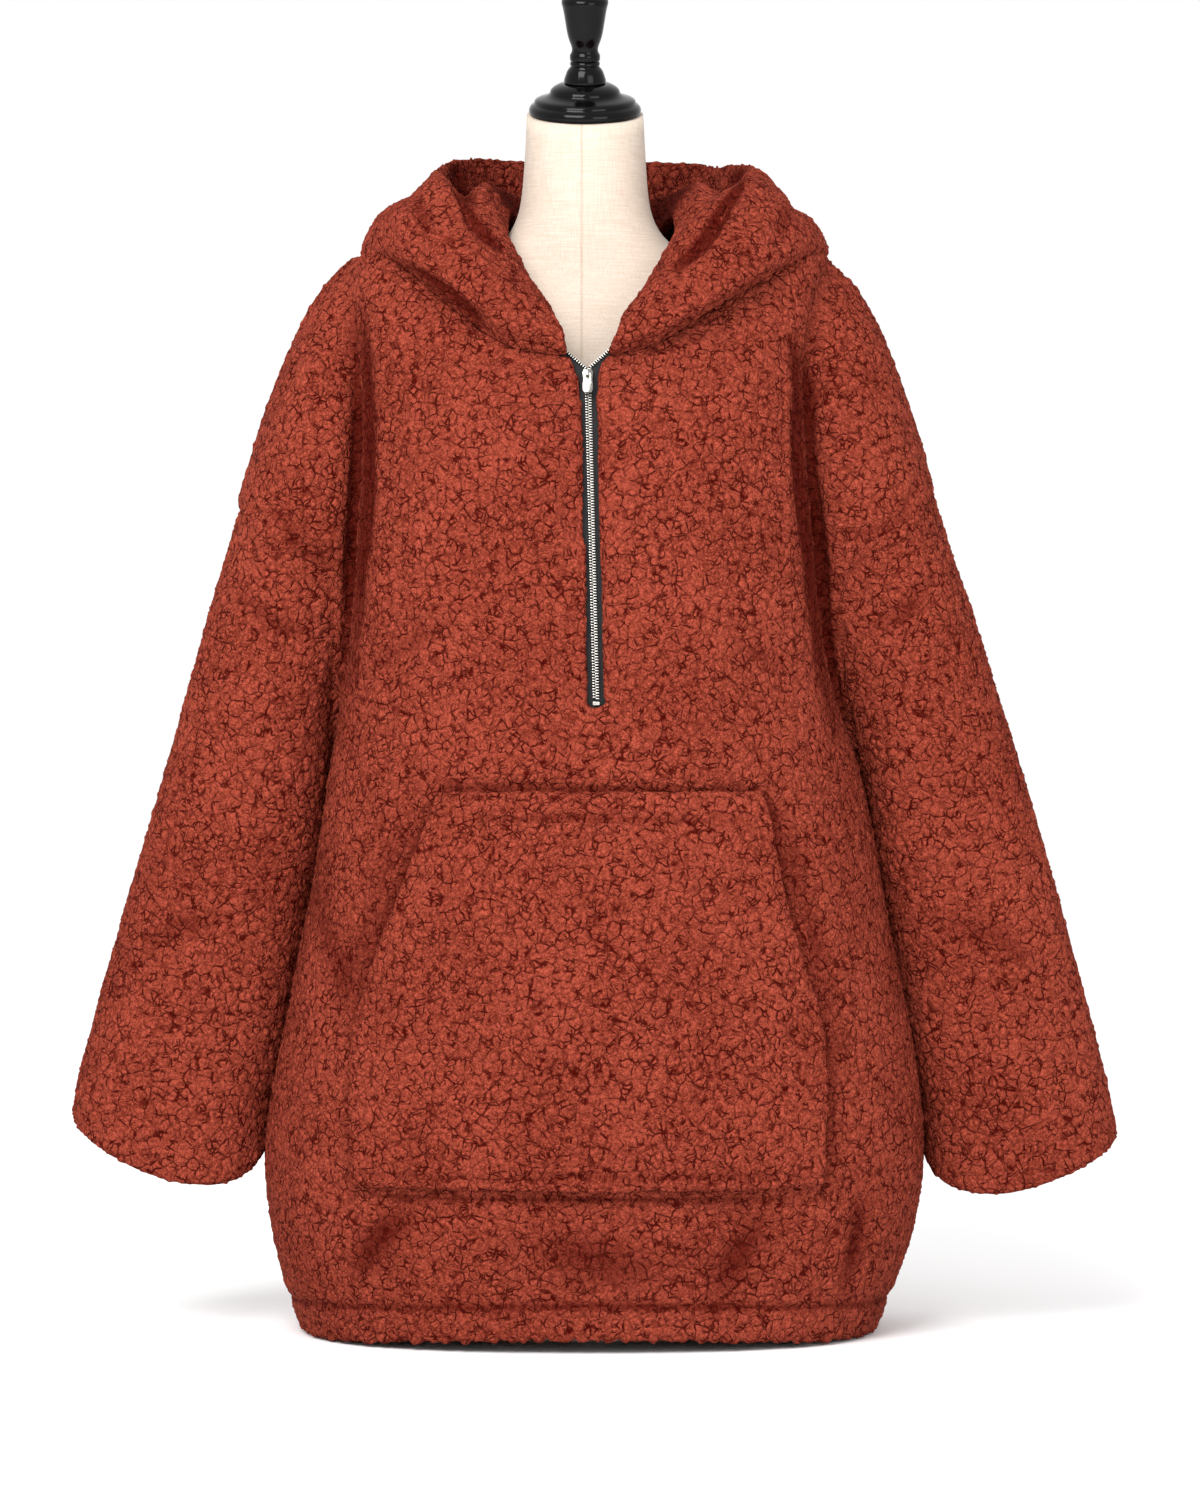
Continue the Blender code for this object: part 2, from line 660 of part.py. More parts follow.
# ================================================================ walls
def inward_offsets(points, faces, walls):
    """For each point, the way to the wall's inner face, which keeps its thickness in folds."""
    shape = bmesh.new()
    corners = [shape.verts.new(point) for point in points]
    for face in faces:
        shape.faces.new([corners[index] for index in face])
    shape.normal_update()
    offsets = []
    for corner, wall in zip(corners, walls):
        faced = [face.normal.dot(corner.normal) for face in corner.link_faces]
        lean = max(sum(faced) / len(faced), FOLD_LIMIT) if faced else 1
        offsets.append(-corner.normal * wall / lean)
    shape.free()
    return offsets


def rim_edges(faces):
    """The directed edges that only one face has."""
    edges = {(face[index - 1], face[index]) for face in faces for index in range(len(face))}
    return [edge for edge in sorted(edges) if (edge[1], edge[0]) not in edges]


def drawn_back(points, offsets, rim, gap):
    """How far each point of the rim is drawn into its own panel, to leave half the seam's gap."""
    inward = {}
    for start, end in rim:
        run = (points[end] - points[start]).normalized()
        for corner in (start, end):
            across = (-offsets[corner]).cross(run).normalized()
            inward.setdefault(corner, []).append(across)
    moves = {}
    for corner, ways in inward.items():
        total = sum(ways, Vector())
        spread = max(total.length_squared / len(ways), MITRE_LIMIT)
        moves[corner] = total * (gap / 2) / spread
    return moves


def wall_piece(name, points, offsets, faces, gap, look):
    """A closed wall on one panel's faces, drawn back along its rim."""
    rim = rim_edges(faces)
    moves = drawn_back(points, offsets, rim, gap)
    used = sorted({index for face in faces for index in face})
    order = {index: number for number, index in enumerate(used)}
    count = len(used)
    outer = [points[index] + moves.get(index, Vector()) for index in used]
    inner = [point + offsets[index] for point, index in zip(outer, used)]
    made = [tuple(order[index] for index in face) for face in faces]
    made += [tuple(order[index] + count for index in reversed(face)) for face in faces]
    for start, end in rim:
        low = order[start]
        high = order[end]
        if start < end:
            made += [(high, low, high + count), (low, low + count, high + count)]
        else:
            made += [(high, low, low + count), (high, low + count, high + count)]
    return mesh_object(name, outer + inner, made, look)


def garment(look):
    surface = garment_surface()
    faces = [face for panel in surface.panels.values() for face in panel]
    offsets = inward_offsets(surface.points, faces, surface.walls)
    for name, panel in surface.panels.items():
        wall_piece(name, surface.points, offsets, panel, SEAM_GAP, look)


# ================================================================ pocket
def kangaroo_pocket(look):
    """A patch on the front: the front's own points, moved out."""
    low = POCKET[0]["height"]
    high = POCKET[-1]["height"]
    points = []
    faces = []
    for row in range(POCKET_ROWS + 1):
        height = mix(low, high, row / POCKET_ROWS)
        left = read(POCKET, "height", height, "left")
        right = read(POCKET, "height", height, "right")
        for column in range(POCKET_COLUMNS + 1):
            x = mix(left, right, column / POCKET_COLUMNS) * MM
            points.append(front_surface(x, height * MM))
    for row in range(POCKET_ROWS):
        for column in range(POCKET_COLUMNS):
            start = row * (POCKET_COLUMNS + 1) + column
            faces.append((start, start + 1, start + POCKET_COLUMNS + 2, start + POCKET_COLUMNS + 1))
    walls = []
    for index in range(len(points)):
        row, column = divmod(index, POCKET_COLUMNS + 1)
        sewn = row in (0, POCKET_ROWS) or column in (0, POCKET_COLUMNS)
        walls.append(POCKET_EDGE_WALL if sewn else POCKET_WALL)
    offsets = inward_offsets(points, faces, walls)
    outer = []
    for index, (point, offset, wall) in enumerate(zip(points, offsets, walls)):
        row, column = divmod(index, POCKET_COLUMNS + 1)
        middle = math.sin(math.pi * row / POCKET_ROWS) * math.sin(math.pi * column / POCKET_COLUMNS)
        out = wall + POCKET_GAP + POCKET_BELLY * math.sqrt(middle)
        outer.append(point - offset.normalized() * out + GARMENT_PLACE)
    wall_piece("kangaroo_pocket", outer, offsets, faces, 0, look)


# ================================================================ zip
def zip_point(height, aside, depth):
    """A point beside the zip's line, at a depth below the pile's surface."""
    return front_surface(zip_x(height), height) + Vector((aside, depth, 0)) + GARMENT_PLACE


def opening(height):
    """How far each row of teeth has parted from the zip's line."""
    start = SLIDER_HEIGHT + SLIDER["tall"] / 2
    share = max((height - start) / (TEETH["head"] - start), 0)
    return (SLIT_HALF_AT_TOP - SLIT_HALF) * share


def zip_strip(name, side, sizes, look):
    """A strip along one side of the zip, from its foot to its head."""
    start = SLIDER_HEIGHT + SLIDER["tall"] / 2
    heights = [mix(sizes["foot"], start, step / ZIP_STEPS) for step in range(ZIP_STEPS + 1)]
    heights.append(sizes["head"])
    rings = []
    for height in heights:
        near = opening(height) + ZIP_MIDDLE_GAP / 2
        far = near + sizes["width"]
        ring = [zip_point(height, side * aside, depth)
                for aside, depth in ((near, sizes["front"]), (far, sizes["front"]),
                                     (far, sizes["back"]), (near, sizes["back"]))]
        rings.append(ring if side == RIGHT else list(reversed(ring)))
    points, faces = tube_grid(rings)
    return mesh_object(name, points, faces, look, smooth=False)


def zip_frame(depth):
    """The slider's place and lean: it lies along the teeth, at a depth below the pile's surface."""
    above = zip_point(SLIDER_HEIGHT + SLIDER["tall"], 0, 0)
    below = zip_point(SLIDER_HEIGHT - SLIDER["tall"], 0, 0)
    rise = above - below
    lean = Matrix.Rotation(-math.atan2(rise.y, rise.z), 4, "X")
    return Matrix.Translation(zip_point(SLIDER_HEIGHT, 0, 0)) @ lean @ Matrix.Translation(
        (0, depth, 0))


def slider(look):
    """The slider's body is a bent plate over the teeth, with a bridge that holds the pull tab."""
    half = SLIDER["tall"] / 2
    outline = [(SLIDER["narrow"] / 2, -half), (-SLIDER["narrow"] / 2, -half)]
    outline += [(SLIDER["wide"] / 2 * x, half * z) for x, z in SLIDER_OUTLINE]
    rings = [[Vector((x, depth, z)) for x, z in outline]
             for depth in (SLIDER["front"], SLIDER["back"])]
    points, faces = tube_grid(rings)
    body = mesh_object("zip_slider", points, faces, look, smooth=False)
    channel = cutter("slider_channel", *box_shape(
        Vector((-SLIDER["channel"] / 2, SLIDER["front"] + SLIDER["plate"], -SLIDER["tall"])),
        Vector((SLIDER["channel"] / 2, SLIDER["back"] + half, SLIDER["tall"]))), look)
    boolean(body, channel, "DIFFERENCE")
    out = SLIDER["front"] - BRIDGE["out"]
    top = BRIDGE["tall"] / 2
    bridge = cutter("slider_bridge", *box_shape(
        Vector((-BRIDGE["wide"] / 2, out - BRIDGE["post"], -top)),
        Vector((BRIDGE["wide"] / 2, SLIDER["front"] + SLIDER["plate"] / 2, top))), look)
    boolean(body, bridge, "UNION")
    eye = cutter("bridge_eye", *box_shape(
        Vector((-BRIDGE["wide"], out, BRIDGE["post"] - top)),
        Vector((BRIDGE["wide"], SLIDER["front"], top - BRIDGE["post"]))), look)
    boolean(body, eye, "DIFFERENCE")
    for piece in (body, channel, bridge, eye):
        piece.matrix_world = zip_frame(0)
    return body


def pull_tab(look):
    """A flat tab with an eye, whose top bar turns in the slider's bridge."""
    half = TAB["thick"] / 2
    top = TAB["bar"] / 2
    outline = [(TAB["top_wide"] / 2, top), (-TAB["top_wide"] / 2, top)]
    outline += [(TAB["wide"] / 2 * x, TAB["long"] * z) for x, z in TAB_OUTLINE]
    rings = [[Vector((x, depth, z)) for x, z in outline] for depth in (half, -half)]
    points, faces = tube_grid(rings)
    body = mesh_object("zip_pull_tab", points, faces, look, smooth=False)
    eye = cutter("tab_eye", *box_shape(
        Vector((-TAB["eye_wide"] / 2, -2 * TAB["thick"], -top - TAB["eye_long"])),
        Vector((TAB["eye_wide"] / 2, 2 * TAB["thick"], -top))), look)
    boolean(body, eye, "DIFFERENCE")
    for piece in (body, eye):
        piece.matrix_world = zip_frame(TAB["axis_depth"])
    return body


def bottom_stop(look):
    middle = zip_point(STOP["height"], 0, 0)
    points, faces = box_shape(middle + Vector((-STOP["wide"] / 2, STOP["front"], -STOP["tall"] / 2)),
                              middle + Vector((STOP["wide"] / 2, STOP["back"], STOP["tall"] / 2)))
    return mesh_object("zip_bottom_stop", points, faces, look, smooth=False)


# ================================================================ dress form
def form_ring(height):
    now = {name: read(FORM, "height", height / MM, name) for name in ("half_width", "front", "back",
                                                                      "tilt")}
    ring = []
    power = 2 / FORM_ROUNDNESS
    for side in range(FORM_SIDES):
        turn = math.tau * side / FORM_SIDES
        x = math.copysign(abs(math.cos(turn)) ** power, math.cos(turn)) * now["half_width"] * MM
        reach = now["back"] if math.sin(turn) > 0 else -now["front"]
        y = math.copysign(abs(math.sin(turn)) ** power, math.sin(turn)) * reach * MM
        ring.append(Vector((x, y, height + y * math.tan(NECK_TILT) * now["tilt"])))
    return ring


def form_body(look):
    heights = []
    for low, high in zip(FORM, FORM[1:]):
        steps = max(1, round((high["height"] - low["height"]) * MM / FORM_STEP))
        heights += [mix(low["height"], high["height"], step / steps) * MM for step in range(steps)]
    heights.append(NECK_TOP)
    points, faces = tube_grid([form_ring(height) for height in heights])
    return mesh_object("form_body", points, faces, look)


def on_the_neck(piece, height):
    """Stand a turned piece on the neck's slanted top."""
    lean = Matrix.Rotation(NECK_TILT, 4, "X")
    piece.matrix_world = Matrix.Translation((0, 0, NECK_TOP)) @ lean @ Matrix.Translation(
        (0, 0, height))


def dress_form(linen, lacquer, steel, white_steel):
    form_body(linen)
    cap = turned("form_neck_cap", NECK_CAP, TURNED_SIDES, lacquer)
    on_the_neck(cap, PART_GAP)
    finial = turned("form_finial", FINIAL, FINIAL_SIDES, lacquer)
    on_the_neck(finial, NECK_CAP[-1][1] * MM + 2 * PART_GAP)
    turned("form_base", BASE, TURNED_SIDES, white_steel)
    top = (FORM[0]["height"] * MM - PART_GAP) / MM
    bottom = (BASE[-1][1] * MM + PART_GAP) / MM
    pole = ((0, bottom), (POLE_RADIUS / MM, bottom), (POLE_RADIUS / MM, top), (0, top))
    turned("form_pole", pole, TURNED_SIDES // 2, steel)


def main():
    clear_scene()
    fleece = finish("sherpa_fleece", (0.36, 0.052, 0.03), 0.95)
    pocket_fleece = finish("sherpa_fleece_pocket", (0.36, 0.052, 0.03), 0.95)
    tape = finish("zip_tape_black", (0.01, 0.009, 0.009), 0.8)
    metal = finish("zip_metal", (0.55, 0.54, 0.52), 0.3, 1.0)
    linen = finish("linen_cream", (0.86, 0.78, 0.66), 0.85)
    lacquer = finish("lacquer_black", (0.012, 0.011, 0.012), 0.15)
    steel = finish("painted_steel_black", (0.02, 0.02, 0.022), 0.4)
    white_steel = finish("painted_steel_white", (0.8, 0.8, 0.79), 0.4)
    garment(fleece)
    kangaroo_pocket(pocket_fleece)
    for word, side in (("left", LEFT), ("right", RIGHT)):
        zip_strip("zip_tape_" + word, side, TAPE, tape)
        zip_strip("zip_teeth_" + word, side, TEETH, metal)
    slider(metal)
    pull_tab(metal)
    bottom_stop(metal)
    dress_form(linen, lacquer, steel, white_steel)


main()
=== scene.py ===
"""The finishes of a sherpa fleece pullover with a half zip, on a counter-top dress form.

The file is laid out as an add-on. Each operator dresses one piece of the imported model, or one group
of like pieces: the fleece panels, the sleeves, the hood, the pocket, the zip and the dress form.
"""
import math
from collections import namedtuple
from functools import partial

import bpy
import numpy as np
from bpy.props import FloatProperty, IntProperty, PointerProperty, StringProperty
from mathutils import Matrix, Vector
from mathutils.bvhtree import BVHTree


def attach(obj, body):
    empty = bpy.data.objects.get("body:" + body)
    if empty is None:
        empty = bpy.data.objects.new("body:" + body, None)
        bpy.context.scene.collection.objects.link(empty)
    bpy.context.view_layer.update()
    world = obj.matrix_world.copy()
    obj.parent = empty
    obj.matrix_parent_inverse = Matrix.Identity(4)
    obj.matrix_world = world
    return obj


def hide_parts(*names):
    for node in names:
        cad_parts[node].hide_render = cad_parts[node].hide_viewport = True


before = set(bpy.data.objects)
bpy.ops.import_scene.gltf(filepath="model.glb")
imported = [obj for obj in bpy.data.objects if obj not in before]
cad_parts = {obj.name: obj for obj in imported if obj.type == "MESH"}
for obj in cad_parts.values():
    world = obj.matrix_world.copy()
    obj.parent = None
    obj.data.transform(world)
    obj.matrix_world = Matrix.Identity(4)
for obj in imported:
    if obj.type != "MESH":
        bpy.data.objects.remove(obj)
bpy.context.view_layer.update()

bl_info = {
    "name": "Sherpa Fleece Pullover",
    "version": (1, 0, 0),
    "blender": (4, 5, 0),
    "location": "View3D > Sidebar > Pullover",
    "description": "Builds the pile, the zip and the dress form of a sherpa fleece pullover",
    "category": "Object",
}

MM = 0.001
PULLOVER_BODY = "pullover"
ZIP_PULL_BODY = "zip_pull"

# ---------------------------------------------------------------- how the cloth is made
WELD = 0.02 * MM              # points nearer than this are one
SHARP = math.radians(42)      # a wall's rim turns more than this
QUAD_BEND = math.radians(38)  # two triangles that bend less than this make one face
QUAD_SKEW = math.radians(60)  # whose corners are off square by less than this
LINING_SHARE = 0.10           # how much of the inside's mesh is kept
SIDE = 170 * MM               # the sleeves and the body's sides meet further out than this
REST = "rest_place"           # attribute: a point's place before the pile was raised
PRESSED = "pressed"           # attribute: how far stitching presses the pile, 0 to 1

# Cut pieces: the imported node; the flat cut's width and length, and its area, in metres and square
# metres; then in millimetres the mesh's spacing, how far the pile stands outside the smoothed form,
# how much further where sleeve and side hang against each other, and how far the wall's rim is let
# out, so that seams close under the pile.
Panel = namedtuple("Panel", "node flat area spacing plump meeting seam")
PANELS = {
    "fleece_front": Panel("front_panel", (0.68, 0.94), 0.62, 3.3, 2.6, 2.5, 2.6),
    "fleece_back": Panel("back_panel", (0.68, 0.95), 0.62, 3.3, 2.6, 2.5, 2.6),
    "fleece_sleeve_left": Panel("sleeve_left", (0.44, 0.53), 0.205, 2.8, 2.6, 3.5, 2.6),
    "fleece_sleeve_right": Panel("sleeve_right", (0.44, 0.54), 0.205, 2.8, 2.6, 3.5, 2.6),
    "fleece_hood_left": Panel("hood_left", (0.42, 0.44), 0.17, 3.0, 1.6, 0, 2.6),
    "fleece_hood_right": Panel("hood_right", (0.42, 0.44), 0.17, 3.0, 1.6, 0, 2.6),
    "fleece_pocket": Panel("kangaroo_pocket", (0.41, 0.34), 0.122, 2.5, 3.2, 0, 0),
}

# Soft folds, in millimetres: which way they face, the points that they run through as seen from the
# front, half their width, and how deep they are (below 0 they stand out).
FRONT = -1
BACK = 1
VALLEY_LEFT = ((-196, 880), (-191, 832), (-190, 785), (-190, 745), (-191, 713), (-193, 681),
               (-197, 657), (-200, 612), (-204, 560))
VALLEY_RIGHT = ((180, 852), (188, 814), (187, 761), (191, 711), (198, 663), (207, 581), (220, 520))
ARMHOLE_LEFT = ((-297, 712), (-263, 706), (-240, 672), (-202, 660))
ARMHOLE_RIGHT = ((291, 745), (271, 698), (240, 690), (206, 684))
POCKET_EDGE = ((-198, 133), (-198, 272), (-171, 354), (-147, 413), (-124, 458), (-118, 474),
               (30, 472), (148, 470), (156, 456), (161, 428), (168, 387), (186, 320), (206, 261),
               (204, 133))
FOLDS = {
    "fleece_front": (
        (FRONT, VALLEY_LEFT, 10, 7.0),
        (FRONT, VALLEY_RIGHT, 10, 7.0),
        (FRONT, ARMHOLE_LEFT, 5, 3.0),
        (FRONT, ARMHOLE_RIGHT, 5, 3.0),
        (FRONT, POCKET_EDGE, 5.5, 3.4),
        (FRONT, ((-200, 130), (0, 131), (206, 128)), 2.8, 3.2),
        (FRONT, ((-205, 82), (0, 78), (212, 82)), 44, 1.7),
        (FRONT, ((-214, 272), (-186, 356), (-161, 418), (-140, 464)), 15, 2.6),
        (FRONT, ((160, 468), (174, 432), (184, 388), (202, 322), (220, 262)), 13, 2.6),
        (FRONT, ((214, 262), (213, 200), (212, 140)), 9, 2.0),
        (FRONT, ((150, 112), (132, 84), (110, 46)), 13, 2.8),
        (FRONT, ((-150, 118), (-178, 92), (-196, 60)), 15, 3.5),
        (FRONT, ((238, 130), (232, 90), (224, 50)), 10, 3.5),
        (FRONT, ((60, 62), (10, 80), (-30, 95)), 20, 2.0),
        (FRONT, ((-245, 420), (-228, 360), (-205, 300)), 14, 3.0),
        (FRONT, ((-178, 575), (-140, 600), (-105, 610)), 12, 2.6),
        (FRONT, ((186, 560), (150, 585), (118, 596)), 12, 2.6),
    ),
    "fleece_back": (
        (BACK, VALLEY_LEFT, 10, 6.0),
        (BACK, VALLEY_RIGHT, 10, 6.0),
        (BACK, ((-120, 420), (-95, 370), (-60, 300)), 22, 3.5),
        (BACK, ((150, 260), (130, 190), (90, 120)), 26, 4.0),
        (BACK, ((-180, 560), (-150, 590), (-110, 610)), 14, 2.8),
        (BACK, ((60, 520), (90, 470), (104, 400)), 20, 3.0),
    ),
    "fleece_sleeve_left": (
        (FRONT, ARMHOLE_LEFT, 5, 3.0),
        (FRONT, ((-300, 640), (-268, 612), (-240, 604)), 11, 3.0),
        (FRONT, ((-390, 330), (-350, 352), (-300, 362)), 16, 3.0),
        (BACK, ((-385, 380), (-345, 400), (-300, 396)), 16, 3.5),
    ),
    "fleece_sleeve_right": (
        (FRONT, ARMHOLE_RIGHT, 5, 3.0),
        (FRONT, ((300, 650), (272, 618), (246, 608)), 11, 3.0),
        (FRONT, ((392, 318), (352, 344), (306, 352)), 16, 3.0),
        (BACK, ((385, 360), (345, 384), (306, 380)), 16, 3.5),
    ),
    "fleece_hood_left": (
        (FRONT, ((-112, 1015), (-110, 998), (-100, 976), (-95, 958), (-82, 944), (-70, 933)),
         6.5, 9.0),
        (FRONT, ((-186, 924), (-150, 908), (-121, 892), (-101, 873), (-84, 852)), 8, 6.0),
        (FRONT, ((-149, 984), (-140, 962), (-136, 940)), 9, 3.5),
    ),
    "fleece_hood_right": (
        (FRONT, ((133, 1012), (131, 990), (114, 960), (103, 941), (78, 915)), 6.5, 9.0),
        (FRONT, ((205, 920), (169, 907), (139, 889), (101, 864), (74, 850)), 8, 6.0),
        (FRONT, ((180, 978), (172, 958), (166, 938)), 9, 3.5),
    ),
    "fleece_pocket": (
        (FRONT, ((-190, 139), (-60, 137), (0, 141), (40, 137), (46, 143), (120, 139), (196, 136)),
         3.6, -4.4),
        (FRONT, ((-190, 149), (-60, 147), (0, 151), (42, 148), (120, 149), (196, 145)), 3.0, 2.8),
        (FRONT, ((-128, 449), (0, 450), (152, 446)), 3.2, 3.2),
    ),
}
PAINTED_SHADE_ATTR = "painted_shade"           # attribute: painted shade in the folds, along the hem's stitching and in the hood's hollow, 0 to 1
CREASE_FULL = 5 * MM          # the depth at which it is 1
FOLD_FACING = (1.5, 0.3)      # how soon a fold fades where the cloth turns away: slope and start
FOLD_ENDS = 0.06              # how far a fold's ends are from fading out, as a share of its length

# The hem's stitching, in millimetres where no unit is given, and its edge.
HEMMED = {"fleece_front": FRONT, "fleece_back": BACK}
HEM_CENTRE = 4                # the hem's middle is this far to the right
HEM_REACH = 268               # from its middle to its sides
HEM_MIDDLE = {FRONT: 40, BACK: 33}  # the stitching's height at the middle
HEM_SIDES = 29                # and at the sides
HEM_STITCH_WIDE = 3.8 * MM
STITCH_SINK = 3.3 * MM
HEM_TUFT = 1.1 * MM
TUFTS = ((61, 0.0, 1.0), (97, 1.3, 1.0), (151, 0.4, 0.8))  # how often round the hem, start, share
TUFTS_FADE = (4 * MM, 30 * MM)  # heights between which the tufts fade out
OFF_FLOOR = 1.5 * MM

# How far the hood's top is let down beside its crest, in millimetres: across, and down.
HOOD_TOP = ((-205, 5), (-175, 4), (-161, 4.5), (-152, 9), (-140, 12), (-133, 10), (-126, 5.5),
            (-119, 2), (-100, 0), (60, 0), (90, 3), (104, 4.5), (117, 8.5), (131, 5.5), (150, 4.5),
            (159, 0), (173, 0), (182, 9), (194, 7), (210, 5))
HOOD_STEP = 6 * MM            # columns in which the hood's highest points are found
LET_DOWN = (40 * MM, 6 * MM)  # the letting down starts and is full this far below the top

# The hood's hollow, darkened as painted shade: depths between which it starts, distances from the
# neck between which it ends, how far it reaches over the roll, and how much painted shade it gets far
# from the neck and how much more beside it.
HOLLOW_BEHIND = (-45 * MM, 30 * MM)
HOLLOW_NEAR = (85 * MM, 150 * MM)
HOLLOW_OVER = 0.35
HOLLOW_SHADE = (0.45, 0.65)

# The fleece's gaps, in clump sizes: how often and how far they wander, and two layers of them, each
# with its size, its offset and the patches' value below which its gaps stay open.
WANDERS = ((0.5, 0.4), (1.5, 0.24), (2.6, 0.14))
GAP_LAYERS = ((1.0, 0.0, 0.56), (0.62, 3.7, 0.42))
GAP_PATCHES = 1.15            # how often gaps close and open again
GAP_FADE = 0.6                # how soon they close
GAP_TEARS = 2.2               # how often their edges are torn
GAP_TORN = 0.14               # and how far
GAP_PARTS = 1.3               # how often their line of painted shade grows fainter
PILLOW_WIDE = 0.34            # how far a clump rounds off towards its gaps
PILLOW_TOP = 0.12             # how far it stands out, as a share of its gaps' depth
LUMPS = 0.28                  # how often the pile swells

# How the fleece is drawn. A ramp gives the two values that it runs between, and what comes out. The
# gaps' dark line, the clumps' darker edges and the folds are painted shade.
GAP_LINE = (0.0, 0.078, 1.0, 0.0)
GAP_STRENGTH = (0.35, 0.61, 0.3, 1.0)
DOMES = (0.0, 0.40, 1.0, 0.0)
FIBRE_TIPS = (0.40, 0.62, 0.0, 1.0)
SLOW_SHADES = (0.3, 0.7, 0.08, 0.34)
FOLD_SHADE = (0.1, 1.0, 0.0, 0.8)
TIPS_LIGHT = 0.8              # how much of the tips' colour the fibres take
DOME_EDGE_SHADE = 0.10              # how much of the gaps' colour the domes' edges take, as painted shade
FIBRES_HIGH = 2.4             # the bump's heights, in millimetres
DOME_DROP = -2.3
GAP_DROP = -1.8

# Real sizes of the materials' patterns. Fibres, threads, marks and grit are finer on the real thing,
# and are drawn as coarse as they need to be to show.
FIBRE_CURL = 2.381 * MM
FLEECE_SHADES = 71.43 * MM    # slow changes of the fleece's tone
LINEN_THREAD = 0.769 * MM
LINEN_SLUB = 0.04             # a thread's thickness as a share of its slubs' length
TUMBLE_MARK = 1.111 * MM
MARKS = (0.3, 0.7)            # the values of a finish's marks that its gloss runs between
TAPE_RIB = 2.417 * MM         # the herringbone's ribs, counted along the tape
COAT_GRIT = 0.909 * MM
ORANGE_PEEL = 7.143 * MM
LINEN_TONES = (0.7, 1.3, 0.0, 1.0)
SEAM_WIDE = (0.3 * MM, 1.6 * MM, 1.0, 0.0)  # how the form's seam fades beside its line
SEAM_DARK = 0.3
SEAM_DROP = -4.0
RAMP = {"interpolation_type": "SMOOTHSTEP"}

# The zip's line on the front, and how far the fleece's lips stay from it, in metres.
ZIP_LINE = ((0.0098, 0.543), (0.0023, 0.837))
ZIP_PARTS = 0.827             # the rows part above the slider
ZIP_LIPS = {-1: 3.0 * MM, 1: 6.6 * MM}
ZIP_PARTING = 10.3 * MM       # how much further the lips are apart at the top
ZIP_TOP = 0.8365              # where the solids of the teeth end
ZIP_FLARE = 0.7               # the parted rows run on past that by this share of their last length
ZIP_FRONT = -50 * MM          # the zip and its opening lie in front of this depth
ZIP_SLIT = (6 * MM, 10 * MM)  # the slit's rim runs this far below the zip's foot and above its top
LIPS_BEGIN = (6 * MM, 4 * MM)  # the lips begin this far below the foot, and are full this far above
TAPE_CORD = ((0, -0.9), (0.9, -1.0), (1.7, -0.4))  # its corded edge, in millimetres: across, back
TAPE_HALF = 0.4 * MM          # half the tape's thickness
TOOTH_DEEP = 2.3 * MM
TOOTH_TALL = 1.05 * MM
HEAD_TALL = 0.72              # a tooth's head, as shares of its foot
HEAD_DEEP = 0.86
TOOTH_ROUND = 0.32 * MM
TOOTH_INWARDS = 0.3 * MM      # how far the teeth reach over to the other row
FIRST_TOOTH = {-1: 1.1, 1: 0.6}  # each row's first tooth, in pitches from its foot

# The foot of the neck's V: height, left edge and right edge, in millimetres.
NECK_FOOT = ((838, -13.5, 17), (848, -15, 22), (861, -18.5, 28), (880, -28, 33))

# Turned profiles of the neck cap and its finial, in millimetres: radius and height.
NECK_CAP = ((0, 0), (46.5, 0), (48, 0.6), (48.7, 2), (48.7, 4.6), (47.9, 6.8), (46.4, 8.5),
            (44.9, 9.2), (44.2, 10), (44.0, 11.6), (43.2, 13), (41, 14.2), (38.5, 15), (35.2, 16),
            (32.6, 17.1), (31, 18.4), (30.4, 19.4), (30.2, 20.8), (29.2, 22.4), (27.6, 23.9),
            (25.5, 25.2), (23, 26.4), (20.5, 27.2), (18, 27.6), (0, 27.6))
FINIAL = ((0, 0), (17.2, 0), (18.1, 0.5), (18.3, 1.6), (18, 3.2), (17.4, 5), (16.6, 7.3),
          (15.8, 9.5), (14.8, 11.3), (13.6, 12.8), (12.6, 13.9), (12.3, 14.8), (12.8, 15.5),
          (13, 16.5), (12.8, 17.6), (12.1, 18.6), (12.8, 19.4), (13.1, 20.6), (13.1, 23.6),
          (12.8, 24.8), (12, 26), (11.5, 27.4), (11.3, 29), (11.6, 31), (12.4, 33.5),
          (13.6, 36.5), (14.6, 39.6), (15.4, 43), (16.2, 47.4), (17, 52.5), (17.7, 56.8),
          (18.4, 61), (19, 64), (19.6, 66.5), (20.1, 68.2), (20.3, 69.6), (20.1, 71.6),
          (19, 73.5), (17.2, 74.8), (14.8, 76.2), (12, 77.4), (9, 78.4), (6, 79), (3, 79.4),
          (0, 79.6))
NECK_TOP = 1.054
TURNED_EDGE = math.radians(40)  # sharper edges than this stay crisp on turned and small pieces
HARD_EDGE = math.radians(32)  # and on rounded ones
ROUND_EDGE = math.radians(30)  # sharper edges than this are rounded
NECK_TILT = math.radians(16)  # the neck is cut at a slant, lower in front
PART_GAP = 0.3 * MM
FORM_SEAM = -2.6 * MM         # the cover's seam runs down the middle of the neck

# The stage. Lights: name, place, size in metres and power in watts.
LIGHTS = (("key", (-1.2, -3.0, 3.0), 2.2, 185), ("fill", (2.0, -3.4, 1.5), 2.0, 48))
LIT_MIDDLE = (0, 0, 0.6)
FLOOR_SIZE = 24
SENSOR = 36                   # the camera's sensor, in millimetres
FRAME_PIXELS = 1200
PIXEL = 0.87 * MM             # what one takes in at the form's axis
CAMERA_ASIDE = 0.013


# ================================================================ small helpers
def colour(text):
    """An sRGB hex colour as linear red, green, blue and alpha."""
    parts = [int(text[start:start + 2], 16) / 255 for start in (1, 3, 5)]
    linear = [part / 12.92 if part <= 0.04045 else ((part + 0.055) / 1.055) ** 2.4
              for part in parts]
    return (*linear, 1.0)


